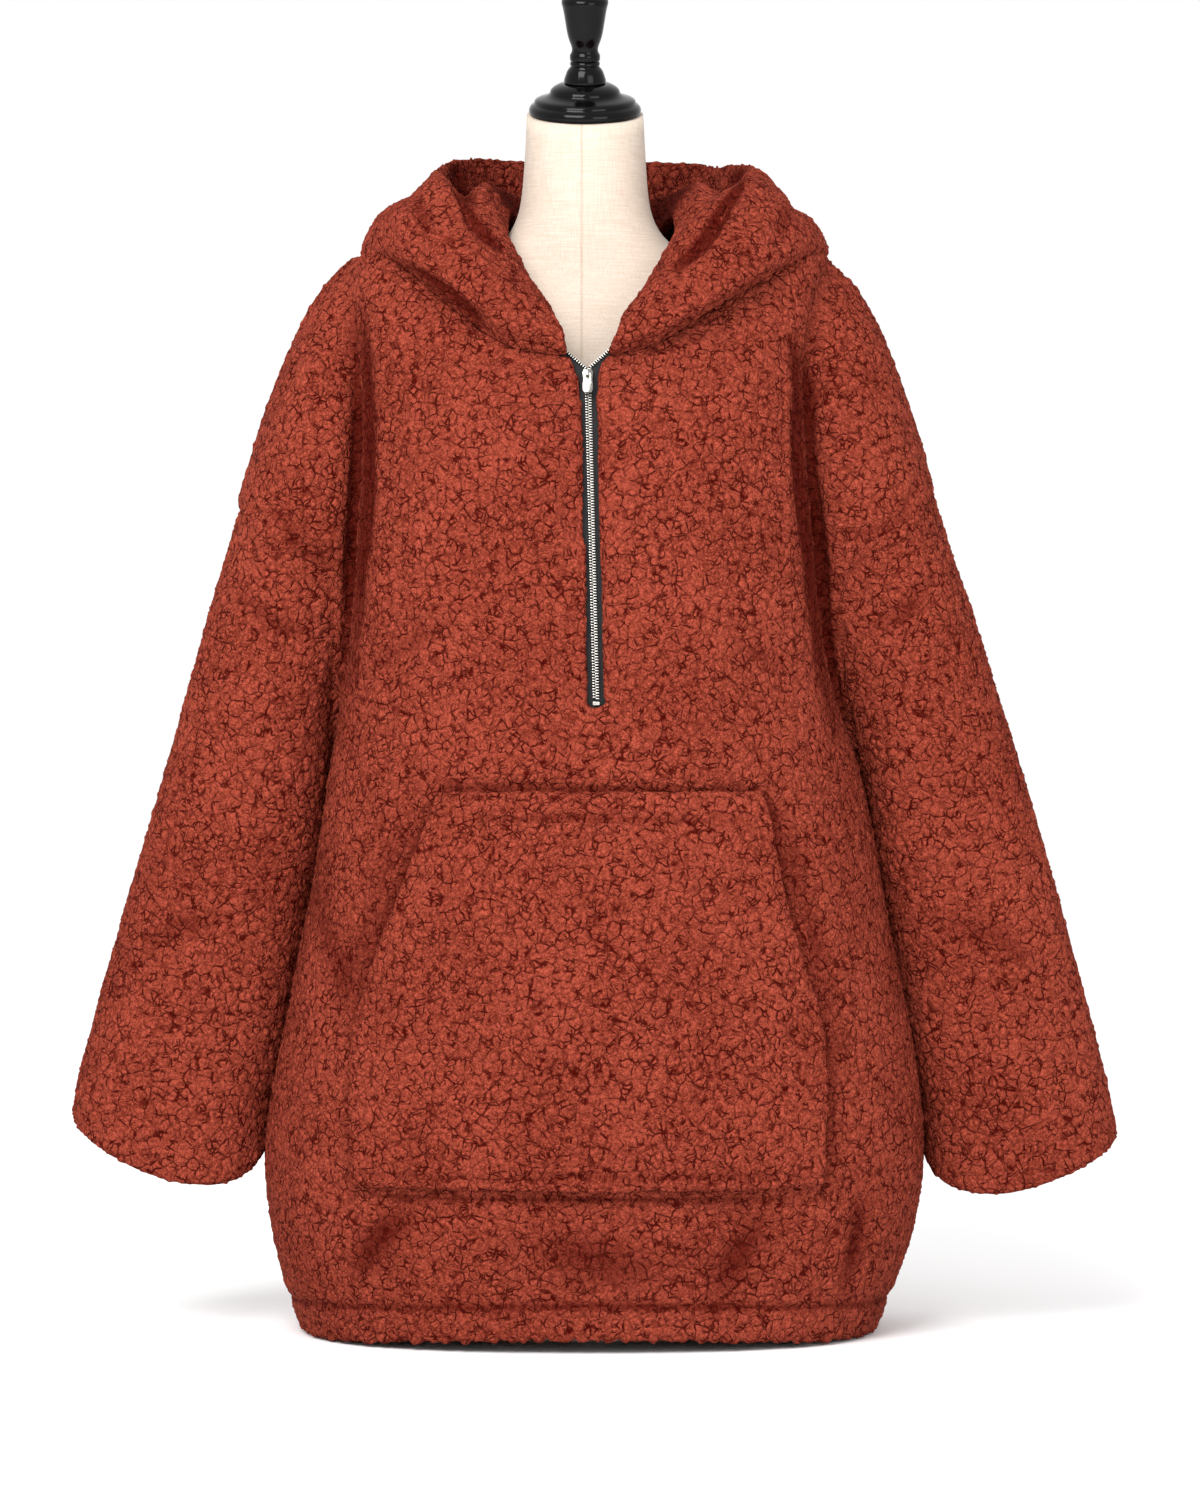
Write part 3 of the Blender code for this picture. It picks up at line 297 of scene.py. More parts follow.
def set_inputs(node, values):
    """Link or set a node's inputs, given by name, by number or in their order."""
    for key, value in (values.items() if isinstance(values, dict) else enumerate(values)):
        if isinstance(value, bpy.types.NodeSocket):
            node.id_data.links.new(value, node.inputs[key])
        else:
            node.inputs[key].default_value = value


def add_node(tree, kind, inputs=(), output=0, **settings):
    """Add a node, set its properties, link or set its inputs, and give one of its outputs."""
    made = tree.nodes.new(kind)
    for name, value in settings.items():
        setattr(made, name, value)
    set_inputs(made, inputs)
    return made.outputs[output]


def plain_look(name, base, roughness, metallic=0.0):
    """A material of one colour, which the others start from."""
    look = bpy.data.materials.new(name)
    look.use_nodes = True
    set_inputs(look.node_tree.nodes["Principled BSDF"],
               {"Base Color": colour(base), "Roughness": roughness, "Metallic": metallic})
    return look


def only(piece):
    """Make one object the only selected one, and the active one."""
    bpy.ops.object.select_all(action="DESELECT")
    piece.select_set(True)
    bpy.context.view_layer.objects.active = piece


def apply_modifier(piece, kind, **settings):
    only(piece)
    change = piece.modifiers.new(kind.title(), kind)
    for name, value in settings.items():
        setattr(change, name, value)
    bpy.ops.object.modifier_apply(modifier=change.name)


def smooth(start, end, value):
    """A soft step from 0 at start to 1 at end."""
    share = np.clip((value - start) / (end - start), 0, 1)
    return share * share * (3 - 2 * share)


def read_points(mesh, what="co"):
    """Every point's place in a mesh, or its normal."""
    values = np.empty(len(mesh.vertices) * 3, np.float32)
    mesh.vertices.foreach_get(what, values)
    return values.reshape(-1, 3).astype(float)


def write_points(mesh, points):
    mesh.vertices.foreach_set("co", points.astype(np.float32).ravel())
    mesh.update()


def new_piece(name, mesh):
    """A mesh as an object of its own, linked and selected."""
    piece = bpy.data.objects.new(name, mesh)
    bpy.context.scene.collection.objects.link(piece)
    only(piece)
    return piece


def copy_of_node(node, name):
    """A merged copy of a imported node's mesh, as an object of its own."""
    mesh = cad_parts[node].data.copy()
    mesh.materials.clear()
    piece = new_piece(name, mesh)
    bpy.ops.mesh.customdata_custom_splitnormals_clear()
    bpy.ops.object.mode_set(mode="EDIT")
    bpy.ops.mesh.select_all(action="SELECT")
    bpy.ops.mesh.remove_doubles(threshold=WELD)
    bpy.ops.object.mode_set(mode="OBJECT")
    return piece


def finish_piece(piece, look, node, body=PULLOVER_BODY):
    """Give a piece its material and body, and let it stand for its node."""
    piece.data.materials.clear()
    piece.data.materials.append(look)
    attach(piece, body)
    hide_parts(node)


# ================================================================ the fleece's pattern
def fleece_gaps(tree, place, size):
    """How far a place is from the nearest gap between clumps, in clump sizes.

    The same nodes raise the pile in geometry nodes and draw its gaps in the material, so that the
    two lie on each other. Gaps wander, fork and close again, as they do in brushed sherpa.
    """
    add = partial(add_node, tree)
    warped = place
    for often, far in WANDERS:
        wander = add("ShaderNodeTexNoise", {"Vector": place, "Scale": often / size, "Detail": 0.0},
                     "Color")
        warped = add("ShaderNodeVectorMath", (wander, (far * size,) * 3, warped),
                     operation="MULTIPLY_ADD")
    distances = []
    for share, offset, shut in GAP_LAYERS:
        moved = add("ShaderNodeVectorMath", (warped, (offset * size,) * 3), operation="ADD")
        near = add("ShaderNodeTexVoronoi", {"Vector": moved, "Scale": 1 / (size * share)},
                   "Distance", feature="DISTANCE_TO_EDGE")
        near = add("ShaderNodeMath", (near, share), operation="MULTIPLY")
        patches = add("ShaderNodeTexNoise",
                      {"Vector": moved, "Scale": GAP_PATCHES / size, "Detail": 1.0})
        closed = add("ShaderNodeMath", (patches, shut), operation="SUBTRACT")
        closed = add("ShaderNodeMath", (closed, 0.0), operation="MAXIMUM")
        distances.append(add("ShaderNodeMath", (closed, GAP_FADE, near), operation="MULTIPLY_ADD"))
    nearest = add("ShaderNodeMath", distances, operation="MINIMUM")
    ragged = add("ShaderNodeTexNoise",
                 {"Vector": place, "Scale": GAP_TEARS / size, "Detail": 2.0, "Roughness": 0.6})
    torn = add("ShaderNodeMath", (ragged, GAP_TORN, -GAP_TORN / 2), operation="MULTIPLY_ADD")
    return add("ShaderNodeMath", (nearest, torn), operation="ADD")


def pile_nodes(settings):
    """Geometry nodes that raise the clumps and keep each point's first place for the material."""
    tree = bpy.data.node_groups.new("raise_pile", "GeometryNodeTree")
    for way in ("INPUT", "OUTPUT"):
        tree.interface.new_socket("Geometry", in_out=way, socket_type="NodeSocketGeometry")
    add = partial(add_node, tree)
    entry = add("NodeGroupInput")
    leave = tree.nodes.new("NodeGroupOutput")
    place = add("GeometryNodeInputPosition")
    normal = add("GeometryNodeInputNormal")
    pressed = add("GeometryNodeInputNamedAttribute", {"Name": PRESSED}, data_type="FLOAT")
    kept = add("GeometryNodeStoreNamedAttribute", {"Geometry": entry, "Name": REST, "Value": place},
               data_type="FLOAT_VECTOR", domain="POINT")
    gaps = fleece_gaps(tree, place, settings.clump)
    pillow = add("ShaderNodeMapRange",
                 (gaps, 0.0, PILLOW_WIDE, -settings.relief, PILLOW_TOP * settings.relief), **RAMP)
    lumps = add("ShaderNodeTexNoise",
                {"Vector": place, "Scale": LUMPS / settings.clump, "Detail": 1.0})
    swell = add("ShaderNodeMath", (lumps, settings.swell, -0.5 * settings.swell),
                operation="MULTIPLY_ADD")
    height = add("ShaderNodeMath", (pillow, swell), operation="ADD")
    loose = add("ShaderNodeMath", (1.0, pressed), operation="SUBTRACT")
    raised = add("ShaderNodeMath", (height, loose), operation="MULTIPLY")
    move = add("ShaderNodeVectorMath", {0: normal, "Scale": raised}, operation="SCALE")
    done = add("GeometryNodeSetPosition", {"Geometry": kept, "Offset": move})
    tree.links.new(done, leave.inputs[0])
    return tree


def sherpa_fleece(settings):
    """Sherpa fleece: knitted polyester whose brushed pile is steamed into soft curled clumps.

    It gives a matt, slightly downy surface, with thin dark gaps where the clumps part. The gaps'
    darkness, the clumps' darker edges and the folds' darkening are painted shade.
    """
    look = plain_look("sherpa_fleece_rust", settings.base, 0.95)
    add = partial(add_node, look.node_tree)
    place = add("ShaderNodeAttribute", output="Vector", attribute_name=REST)
    gaps = fleece_gaps(look.node_tree, place, settings.clump)
    # Painted shade in the gaps between clumps: a thin dark line whose strength varies at random.
    line = add("ShaderNodeMapRange", (gaps, *GAP_LINE), **RAMP)
    shade = add("ShaderNodeMapRange", (gaps, *DOMES), **RAMP)
    parted = add("ShaderNodeTexNoise",
                 {"Vector": place, "Scale": GAP_PARTS / settings.clump, "Detail": 1.0})
    strong = add("ShaderNodeMapRange", (parted, *GAP_STRENGTH), **RAMP)
    dark = add("ShaderNodeMath", (line, strong), operation="MULTIPLY")
    broad = add("ShaderNodeTexNoise", {"Vector": place, "Scale": 1 / FLEECE_SHADES, "Detail": 3.0})
    slow = add("ShaderNodeMapRange", (broad, *SLOW_SHADES), **RAMP)
    fibres = add("ShaderNodeTexNoise",
                 {"Vector": place, "Scale": 1 / FIBRE_CURL, "Detail": 3.0, "Roughness": 0.6,
                  "Distortion": 1.0})
    tips = add("ShaderNodeMapRange", (fibres, *FIBRE_TIPS), **RAMP)
    tone = add("ShaderNodeMath", (tips, TIPS_LIGHT, slow), operation="MULTIPLY_ADD")
    # Painted shade: each clump darkens towards its gaps.
    soft = add("ShaderNodeMath", (shade, DOME_EDGE_SHADE), operation="MULTIPLY")
    # Painted shade in the folds, along the hem's stitching and in the hood's hollow, kept on the
    # mesh.
    painted_shade = add("ShaderNodeAttribute", output="Fac", attribute_name=PAINTED_SHADE_ATTR)
    folded = add("ShaderNodeMapRange", (painted_shade, *FOLD_SHADE), **RAMP)
    mixed = colour(settings.base)
    # The fibres' random tone, then painted shade towards the gaps' colour: on the clumps' edges, in
    # the gaps, and in the folds and the hood's hollow.
    for share, reached in ((tone, settings.light), (soft, settings.deep), (dark, settings.deep),
                           (folded, settings.deep)):
        mixed = add("ShaderNodeMix", {0: share, 6: mixed, 7: colour(reached)}, 2, data_type="RGBA")
    height = 0.0
    for part, high in ((dark, GAP_DROP), (shade, DOME_DROP), (fibres, FIBRES_HIGH)):
        height = add("ShaderNodeMath", (part, high, height), operation="MULTIPLY_ADD")
    bump = add("ShaderNodeBump", {"Strength": 1.0, "Distance": MM, "Height": height})
    set_inputs(look.node_tree.nodes["Principled BSDF"],
               {"Base Color": mixed, "Normal": bump, "Specular IOR Level": 0.03,
                "Sheen Weight": 0.04, "Sheen Roughness": 0.55,
                "Sheen Tint": colour(settings.light)})
    return look


# ================================================================ the fleece's shape
def face_islands(mesh):
    """Which part of the wall each face is on: 0 and 1 for its two sides, 2 for the rim between."""
    parents = list(range(len(mesh.polygons)))

    def root(index):
        while parents[index] != index:
            parents[index] = parents[parents[index]]
            index = parents[index]
        return index

    by_edge = {}
    for face in mesh.polygons:
        for key in face.edge_keys:
            by_edge.setdefault(key, []).append(face.index)
    pairs = [pair for pair in by_edge.values() if len(pair) == 2]
    limit = math.cos(SHARP)
    for first, second in pairs:
        if mesh.polygons[first].normal.dot(mesh.polygons[second].normal) > limit:
            parents[root(first)] = root(second)
    area = {}
    for face in mesh.polygons:
        area[root(face.index)] = area.get(root(face.index), 0) + face.area
    sides = dict(zip(sorted(area, key=area.get, reverse=True)[:2], (0, 1)))
    touched = {}
    for pair in pairs:
        for here, there in (pair, reversed(pair)):
            if root(here) not in sides and root(there) in sides:
                touched.setdefault(root(here), set()).add(sides[root(there)])
    for island in area:
        if island not in sides:
            near = touched.get(island, {0, 1})
            sides[island] = 2 if len(near) == 2 else min(near)
    return [sides[root(face.index)] for face in mesh.polygons]


def from_zip(points):
    """How far points are to the side of the zip's line, in metres."""
    (foot_x, foot), (head_x, head) = ZIP_LINE
    share = (points[:, 2] - foot) / (head - foot)
    return points[:, 0] - foot_x - (head_x - foot_x) * share


def clear_of_zip(points):
    """Keep the front's two lips off the teeth, further on the right, where the tape shows."""
    aside = from_zip(points)
    foot = ZIP_LINE[0][1]
    parted = np.clip((points[:, 2] - ZIP_PARTS) / (ZIP_TOP - ZIP_PARTS), 0, 1) * ZIP_PARTING
    begun = smooth(foot - LIPS_BEGIN[0], foot + LIPS_BEGIN[1], points[:, 2])
    moved = points.copy()
    for side, lip in ZIP_LIPS.items():
        limit = (lip + parted) * begun
        short = (aside * side >= 0) & (aside * side < limit) & (points[:, 1] < ZIP_FRONT)
        moved[short, 0] += side * (limit - aside * side)[short]
    return moved


def clear_of_neck(points):
    """Keep the foot of the neck's V open: its two edges slant on down to the parted zip."""
    height, left, right = np.array(NECK_FOOT).T * MM
    low = np.interp(points[:, 2], height, left)
    high = np.interp(points[:, 2], height, right)
    inside = (points[:, 1] < ZIP_FRONT) & (points[:, 2] > height[0]) & (points[:, 2] < height[-1])
    inside &= (points[:, 0] > low) & (points[:, 0] < high)
    nearest = np.where(points[:, 0] < (low + high) / 2, low, high)
    moved = points.copy()
    moved[inside, 0] = nearest[inside]
    return moved


def let_out(mesh, reach):
    """Let a wall's rim out, so that it meets the next piece's. The zip's slit stays as it is."""
    sides = face_islands(mesh)
    centres = np.array([face.center for face in mesh.polygons])
    slit = (np.abs(from_zip(centres)) < 2 * ZIP_PARTING) & (centres[:, 1] < ZIP_FRONT)
    foot, top = ZIP_LINE[0][1] - ZIP_SLIT[0], ZIP_TOP + ZIP_SLIT[1]
    slit &= (centres[:, 2] > foot) & (centres[:, 2] < top)
    ways = {}
    for face in mesh.polygons:
        if sides[face.index] > 1 and not slit[face.index]:
            for index in face.vertices:
                ways[index] = ways.get(index, Vector()) + face.normal
    for index, way in ways.items():
        mesh.vertices[index].co += way.normalized() * reach


def soft_body(name, node, reach=0.0):
    """The node's own form, rounded: its rims stay sharp and its faces become one smooth surface."""
    piece = copy_of_node(node, name)
    if reach:
        let_out(piece.data, reach)
    only(piece)
    bpy.ops.object.mode_set(mode="EDIT")
    bpy.ops.mesh.select_mode(type="FACE")
    bpy.ops.mesh.select_all(action="SELECT")
    bpy.ops.mesh.tris_convert_to_quads(face_threshold=QUAD_BEND, shape_threshold=QUAD_SKEW)
    bpy.ops.mesh.select_mode(type="EDGE")
    bpy.ops.mesh.select_all(action="DESELECT")
    bpy.ops.mesh.edges_select_sharp(sharpness=SHARP)
    bpy.ops.transform.edge_crease(value=1.0)
    bpy.ops.object.mode_set(mode="OBJECT")
    apply_modifier(piece, "SUBSURF", levels=2, render_levels=2)
    return piece


def thin_lining(piece, form, sides):
    """Thin the mesh of the wall's inside, which is hardly seen, and keep all of its outside."""
    tree = BVHTree.FromPolygons([vertex.co for vertex in form.vertices],
                                [face.vertices for face in form.polygons])
    inside = [vertex.index for vertex in piece.data.vertices
              if sides[tree.find_nearest(vertex.co)[2]] == 1]
    share = len(inside) / len(piece.data.vertices)
    group = piece.vertex_groups.new(name="lining")
    group.add(inside, 1.0, "REPLACE")
    apply_modifier(piece, "DECIMATE", vertex_group=group.name,
                   ratio=1 - share * (1 - LINING_SHARE))
    piece.vertex_groups.clear()


def fold_depth(points, normals, folds):
    """How far soft folds press the outside in at each point."""
    slope, begin = FOLD_FACING
    depth = np.zeros(len(points))
    flat = points[:, [0, 2]] / MM
    for side, line, width, deep in folds:
        nearest = np.full(len(points), np.inf)
        place = np.zeros(len(points))
        steps = len(line) - 1
        for step, (start, end) in enumerate(zip(np.array(line, float), np.array(line[1:], float))):
            run = end - start
            share = np.clip((flat - start) @ run / (run @ run), 0, 1)
            away = np.linalg.norm(flat - start - share[:, None] * run, axis=1)
            closer = away < nearest
            nearest[closer] = away[closer]
            place[closer] = (step + share[closer]) / steps
        facing = np.clip(normals[:, 1] * side * slope + begin, 0, 1)
        ends = np.sqrt(np.sin(np.pi * (FOLD_ENDS + (1 - 2 * FOLD_ENDS) * place)))
        depth += deep * MM * np.exp(-(nearest / width)**2) * facing * ends
    return depth


def hood_hollow_shade(points, normals):
    """How much painted shade each point gets in the hood's hollow: where it faces the neck, behind
    and low.
    """
    flat = points[:, :2] / np.linalg.norm(points[:, :2], axis=1)[:, None]
    inwards = np.clip(-(normals[:, :2] * flat).sum(axis=1) + HOLLOW_OVER, 0, 1)
    behind = smooth(*HOLLOW_BEHIND, points[:, 1])
    near = 1 - smooth(*HOLLOW_NEAR, np.linalg.norm(points[:, :2], axis=1))
    far_dark, near_dark = HOLLOW_SHADE
    return inwards * behind * (far_dark + near_dark * near)


def let_down(points):
    """Round the hood's top: each column of it is let down by its amount in HOOD_TOP."""
    across, down = np.array(HOOD_TOP).T * MM
    columns = np.round(points[:, 0] / HOOD_STEP).astype(int)
    columns -= columns.min()
    highest = np.full(columns.max() + 1, -np.inf)
    np.maximum.at(highest, columns, points[:, 2])
    top = highest[columns]
    start, full = LET_DOWN
    moved = points.copy()
    moved[:, 2] -= np.interp(points[:, 0], across, down) * smooth(top - start, top - full,
                                                                  points[:, 2])
    return moved


def keep_values(mesh, name, values):
    kept = mesh.attributes.new(name, "FLOAT", "POINT")
    kept.data.foreach_set("value", values.astype(np.float32))


def hem_line(side, x):
    """Height of the hem's stitching, in metres."""
    middle = HEM_MIDDLE[side]
    across = np.clip((x / MM - HEM_CENTRE) / HEM_REACH, -1, 1)
    return (middle + (HEM_SIDES - middle) * across**2) * MM


def hem_stitching(points, side):
    """The hem's stitching: how near each point is to it, 1 on the line."""
    away = (points[:, 2] - hem_line(side, points[:, 0])) / HEM_STITCH_WIDE
    return np.exp(-away**2)


def uneven_edge(points):
    """Let the hem's edge hang unevenly, in tufts, and keep it off the floor."""
    around = np.arctan2(points[:, 1], points[:, 0])
    tufts = sum(share * np.sin(around * often + start) for often, start, share in TUFTS)
    moved = points.copy()
    moved[:, 2] += tufts * HEM_TUFT * (1 - smooth(*TUFTS_FADE, points[:, 2]))
    moved[:, 2] = np.maximum(moved[:, 2], OFF_FLOOR)
    return moved


def meeting_share(points, normals, sleeve):
    """How squarely each point faces across the gap between a sleeve and the body's side."""
    outwards = normals[:, 0] * np.sign(points[:, 0])
    facing = -outwards if sleeve else np.abs(outwards)
    return np.clip(facing, 0, 1) * (np.abs(points[:, 0]) > SIDE)


def press_and_fold(name, mesh, panel):
    """Fill the shell out and press in its stitching and folds. The stitching is kept for the pile,
    and how deep the pile is pressed in is kept as painted shade for the material, with the hood's
    hollow added.
    """
    normals = read_points(mesh, "normal")
    points = read_points(mesh)
    meeting = meeting_share(points, normals, panel.node.startswith("sleeve"))
    points += normals * (panel.plump + meeting * panel.meeting)[:, None] * MM
    pressed = np.zeros(len(points))
    if name in HEMMED:
        pressed = hem_stitching(points, HEMMED[name])
    depth = fold_depth(points, normals, FOLDS[name]) + pressed * STITCH_SINK
    painted_shade = depth / CREASE_FULL
    folded = points - normals * depth[:, None]
    if panel.node.startswith("hood"):
        # painted shade in the hood's hollow
        painted_shade += hood_hollow_shade(points, normals)
        folded = clear_of_neck(let_down(folded))
    write_points(mesh, folded)
    keep_values(mesh, PRESSED, pressed)
    keep_values(mesh, PAINTED_SHADE_ATTR, np.clip(painted_shade, 0, 1))


def fleece_piece(name, look, pile, settings):
    """One cut piece of fleece: a shell on its solid's form, with folds, stitching and pile."""
    panel = PANELS[name]
    piece = soft_body(name, panel.node, panel.seam * MM)
    sides = face_islands(piece.data)
    form = piece.data.copy()
    apply_modifier(piece, "REMESH", mode="VOXEL",
                   voxel_size=panel.spacing * settings.coarseness * MM)
    if not panel.node.startswith("hood"):
        thin_lining(piece, form, sides)
    bpy.data.meshes.remove(form)
    apply_modifier(piece, "SMOOTH", factor=0.5, iterations=3)
    mesh = piece.data
    press_and_fold(name, mesh, panel)
    apply_modifier(piece, "NODES", node_group=pile)
    if name == "fleece_front":
        write_points(mesh, clear_of_neck(clear_of_zip(read_points(mesh))))
    write_points(mesh, uneven_edge(read_points(mesh)))
    mesh.shade_smooth()
    finish_piece(piece, look, panel.node)


# ================================================================ metals, linen, lacquer
def on_object(look):
    """What adds nodes to a material, and the material's shader and Object coordinates."""
    add = partial(add_node, look.node_tree)
    return add, look.node_tree.nodes["Principled BSDF"], add("ShaderNodeTexCoord", output="Object")


def marked_look(name, base, roughness, metallic, size, detail, strength, depth, gloss=None):
    """A hard finish with small marks in relief. gloss is its least and its greatest roughness."""
    look = plain_look(name, base, roughness, metallic)
    add, shader, place = on_object(look)
    marks = add("ShaderNodeTexNoise", {"Vector": place, "Scale": 1 / size, "Detail": detail})
    bump = add("ShaderNodeBump", {"Strength": strength, "Distance": depth, "Height": marks})
    set_inputs(shader, {"Normal": bump})
    if gloss:
        rough = add("ShaderNodeMapRange", (marks, *MARKS, *gloss), **RAMP)
        set_inputs(shader, {"Roughness": rough})
    return look


def nickel_plated(name, base, roughness):
    """Zip metal, nickel plated: bright, with fine tumbling marks."""
    return marked_look(name, base, roughness, 1.0, TUMBLE_MARK, 3.0, 0.25, 0.1 * MM,
                       (0.7 * roughness, 1.3 * roughness))


def black_lacquer():
    """Turned beech, sprayed with gloss black lacquer: mirror-like, with a faint orange peel."""
    look = marked_look("gloss_lacquer_on_beech", "#060506", 0.12, 0.0, ORANGE_PEEL, 2.0, 0.12,
                       0.4 * MM, (0.08, 0.16))
    look.node_tree.nodes["Principled BSDF"].inputs["Specular IOR Level"].default_value = 0.14
    return look


def powder_coat(name, base):
    """Powder-coated steel: satin, with a fine even pebble."""
    return marked_look(name, base, 0.45, 0.0, COAT_GRIT, 2.0, 0.2, 0.15 * MM)


def zip_tape_weave():
    """Zip tape: black polyester woven in a fine herringbone, which looks matt and faintly ribbed."""
    look = plain_look("polyester_tape_woven", "#1b191b", 0.85)
    add, shader, place = on_object(look)
    ribs = add("ShaderNodeTexWave",
               {"Vector": place, "Scale": math.pi / 5 / TAPE_RIB, "Distortion": 0.4}, "Fac",
               bands_direction="DIAGONAL")
    mixed = add("ShaderNodeMix", {0: ribs, 6: colour("#070607"), 7: colour("#171517")}, 2,
                data_type="RGBA")
    bump = add("ShaderNodeBump", {"Strength": 0.6, "Distance": 0.2 * MM, "Height": ribs})
    set_inputs(shader, {"Base Color": mixed, "Normal": bump})
    return look


def linen(settings):
    """Dress form cover: plain woven cream linen, stretched smooth and slightly slubbed."""
    look = plain_look("linen_plain_woven", settings.linen, 0.82)
    add, shader, place = on_object(look)
    threads = []
    for slubs in ((1.0, 1.0, LINEN_SLUB), (LINEN_SLUB, LINEN_SLUB, 1.0)):
        drawn = add("ShaderNodeVectorMath", (place, slubs), operation="MULTIPLY")
        threads.append(add("ShaderNodeTexNoise",
                           {"Vector": drawn, "Scale": 1 / LINEN_THREAD, "Detail": 2.0}))
    weave = add("ShaderNodeMath", threads, operation="ADD")
    tone = add("ShaderNodeMapRange", (weave, *LINEN_TONES), **RAMP)
    woven = add("ShaderNodeMix",
                {0: tone, 6: colour(settings.linen_dark), 7: colour(settings.linen)}, 2,
                data_type="RGBA")
    across = add("ShaderNodeSeparateXYZ", (place,))
    aside = add("ShaderNodeMath", (across, FORM_SEAM), operation="SUBTRACT")
    away = add("ShaderNodeMath", (aside,), operation="ABSOLUTE")
    seam = add("ShaderNodeMapRange", (away, *SEAM_WIDE), **RAMP)
    shaded = add("ShaderNodeMath", (seam, SEAM_DARK), operation="MULTIPLY")
    sewn = add("ShaderNodeMix", {0: shaded, 6: woven, 7: colour(settings.seam)}, 2,
               data_type="RGBA")
    sunk = add("ShaderNodeMath", (seam, SEAM_DROP, weave), operation="MULTIPLY_ADD")
    bump = add("ShaderNodeBump", {"Strength": 0.35, "Distance": 0.3 * MM, "Height": sunk})
    set_inputs(shader,
               {"Base Color": sewn, "Normal": bump, "Specular IOR Level": 0.3, "Sheen Weight": 0.1})
    return look


def rounded_copy(name, node, look, body, radius):
    """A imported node's own shape with its edges rounded."""
    piece = copy_of_node(node, name)
    apply_modifier(piece, "BEVEL", width=radius, segments=3, limit_method="ANGLE",
                   angle_limit=ROUND_EDGE)
    bpy.ops.object.shade_smooth_by_angle(angle=HARD_EDGE)
    finish_piece(piece, look, node, body)


# ================================================================ turned and repeated pieces
def spun_piece(name, node, profile, look, sides, height):
    """A turned piece: its profile is spun round the neck's slanted axis."""
    outline = bpy.data.meshes.new(name)
    points = [(radius * MM, 0, up * MM) for radius, up in profile]
    outline.from_pydata(points, [(step, step + 1) for step in range(len(points) - 1)], [])
    piece = new_piece(name, outline)
    bpy.ops.object.mode_set(mode="EDIT")
    bpy.ops.mesh.select_all(action="SELECT")
    bpy.ops.mesh.spin(steps=sides, angle=math.tau, center=(0, 0, 0), axis=(0, 0, 1))
    bpy.ops.mesh.select_all(action="SELECT")
    bpy.ops.mesh.remove_doubles(threshold=WELD)
    bpy.ops.mesh.normals_make_consistent(inside=False)
    bpy.ops.object.mode_set(mode="OBJECT")
    piece.data.transform(Matrix.Translation((0, 0, NECK_TOP)) @ Matrix.Rotation(NECK_TILT, 4, "X")
                         @ Matrix.Translation((0, 0, height)))
    bpy.ops.object.shade_smooth_by_angle(angle=TURNED_EDGE)
    finish_piece(piece, look, node)


def strip_path(node):
    """The middle of a packed strip, from its foot up."""
    points = np.unique(np.round(read_points(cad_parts[node].data), 6), axis=0)
    levels = np.unique(np.round(points[:, 2], 5))
    path = [Vector(points[np.abs(points[:, 2] - level) < WELD].mean(axis=0)) for level in levels]
    path.append(path[-1] + (path[-1] - path[-2]) * ZIP_FLARE)
    return path


def tape_path(node):
    """The tape's middle. Above the slider it keeps its distance from its parted row of teeth."""
    path = strip_path(node)
    teeth = strip_path(node.replace("tape", "teeth"))
    for step in (-2, -1):
        path[step] = teeth[step] + path[-3] - teeth[-3]
    return path


def along(path, far):
    """The place and the direction at a distance along a path."""
    for start, end in zip(path, path[1:]):
        length = (end - start).length
        if far <= length:
            return start.lerp(end, far / length), (end - start).normalized()
        far -= length
    return None, None


def tape_section(settings):
    """The tape's section: how far from its middle, away from the teeth, and how far back."""
    half = settings.tape_wide / 2
    cord = [(inwards * MM - half, back * MM) for inwards, back in TAPE_CORD]
    return (*cord, (half, -TAPE_HALF), (half, TAPE_HALF), (-half, TAPE_HALF))


def zip_tape(name, node, side, look, settings):
    """A woven tape that follows its row of teeth, with a corded edge where the teeth are clamped."""
    rings = [[place + Vector((side * aside, depth, 0)) for aside, depth in tape_section(settings)]
             for place in tape_path(node)]
    count = len(rings[0])
    faces = [[ring * count + step, ring * count + (step + 1) % count,
              (ring + 1) * count + (step + 1) % count, (ring + 1) * count + step]
             for ring in range(len(rings) - 1) for step in range(count)]
    faces += [list(range(count)), list(range(len(rings) * count - count, len(rings) * count))]
    mesh = bpy.data.meshes.new(name)
    mesh.from_pydata([point for ring in rings for point in ring], [], faces)
    piece = new_piece(name, mesh)
    bpy.ops.object.mode_set(mode="EDIT")
    bpy.ops.mesh.select_all(action="SELECT")
    bpy.ops.mesh.normals_make_consistent(inside=False)
    bpy.ops.mesh.subdivide(number_cuts=1)
    bpy.ops.object.mode_set(mode="OBJECT")
    bpy.ops.object.shade_smooth_by_angle(angle=TURNED_EDGE)
    finish_piece(piece, look, node)
    return piece


def one_tooth(settings):
    """A stamped tooth at the origin: a rounded bar that narrows to its head, at -X."""
    bpy.ops.object.select_all(action="DESELECT")
    bpy.ops.mesh.primitive_cube_add(size=1, location=(0, 0, 0))
    tooth = bpy.context.active_object
    tooth.scale = (settings.tooth_wide, TOOTH_DEEP, TOOTH_TALL)
    bpy.ops.object.transform_apply(location=False, rotation=False, scale=True)
    for point in tooth.data.vertices:
        if point.co.x < 0:
            point.co.z *= HEAD_TALL
            point.co.y *= HEAD_DEEP
    apply_modifier(tooth, "BEVEL", width=TOOTH_ROUND, segments=2)
    return tooth


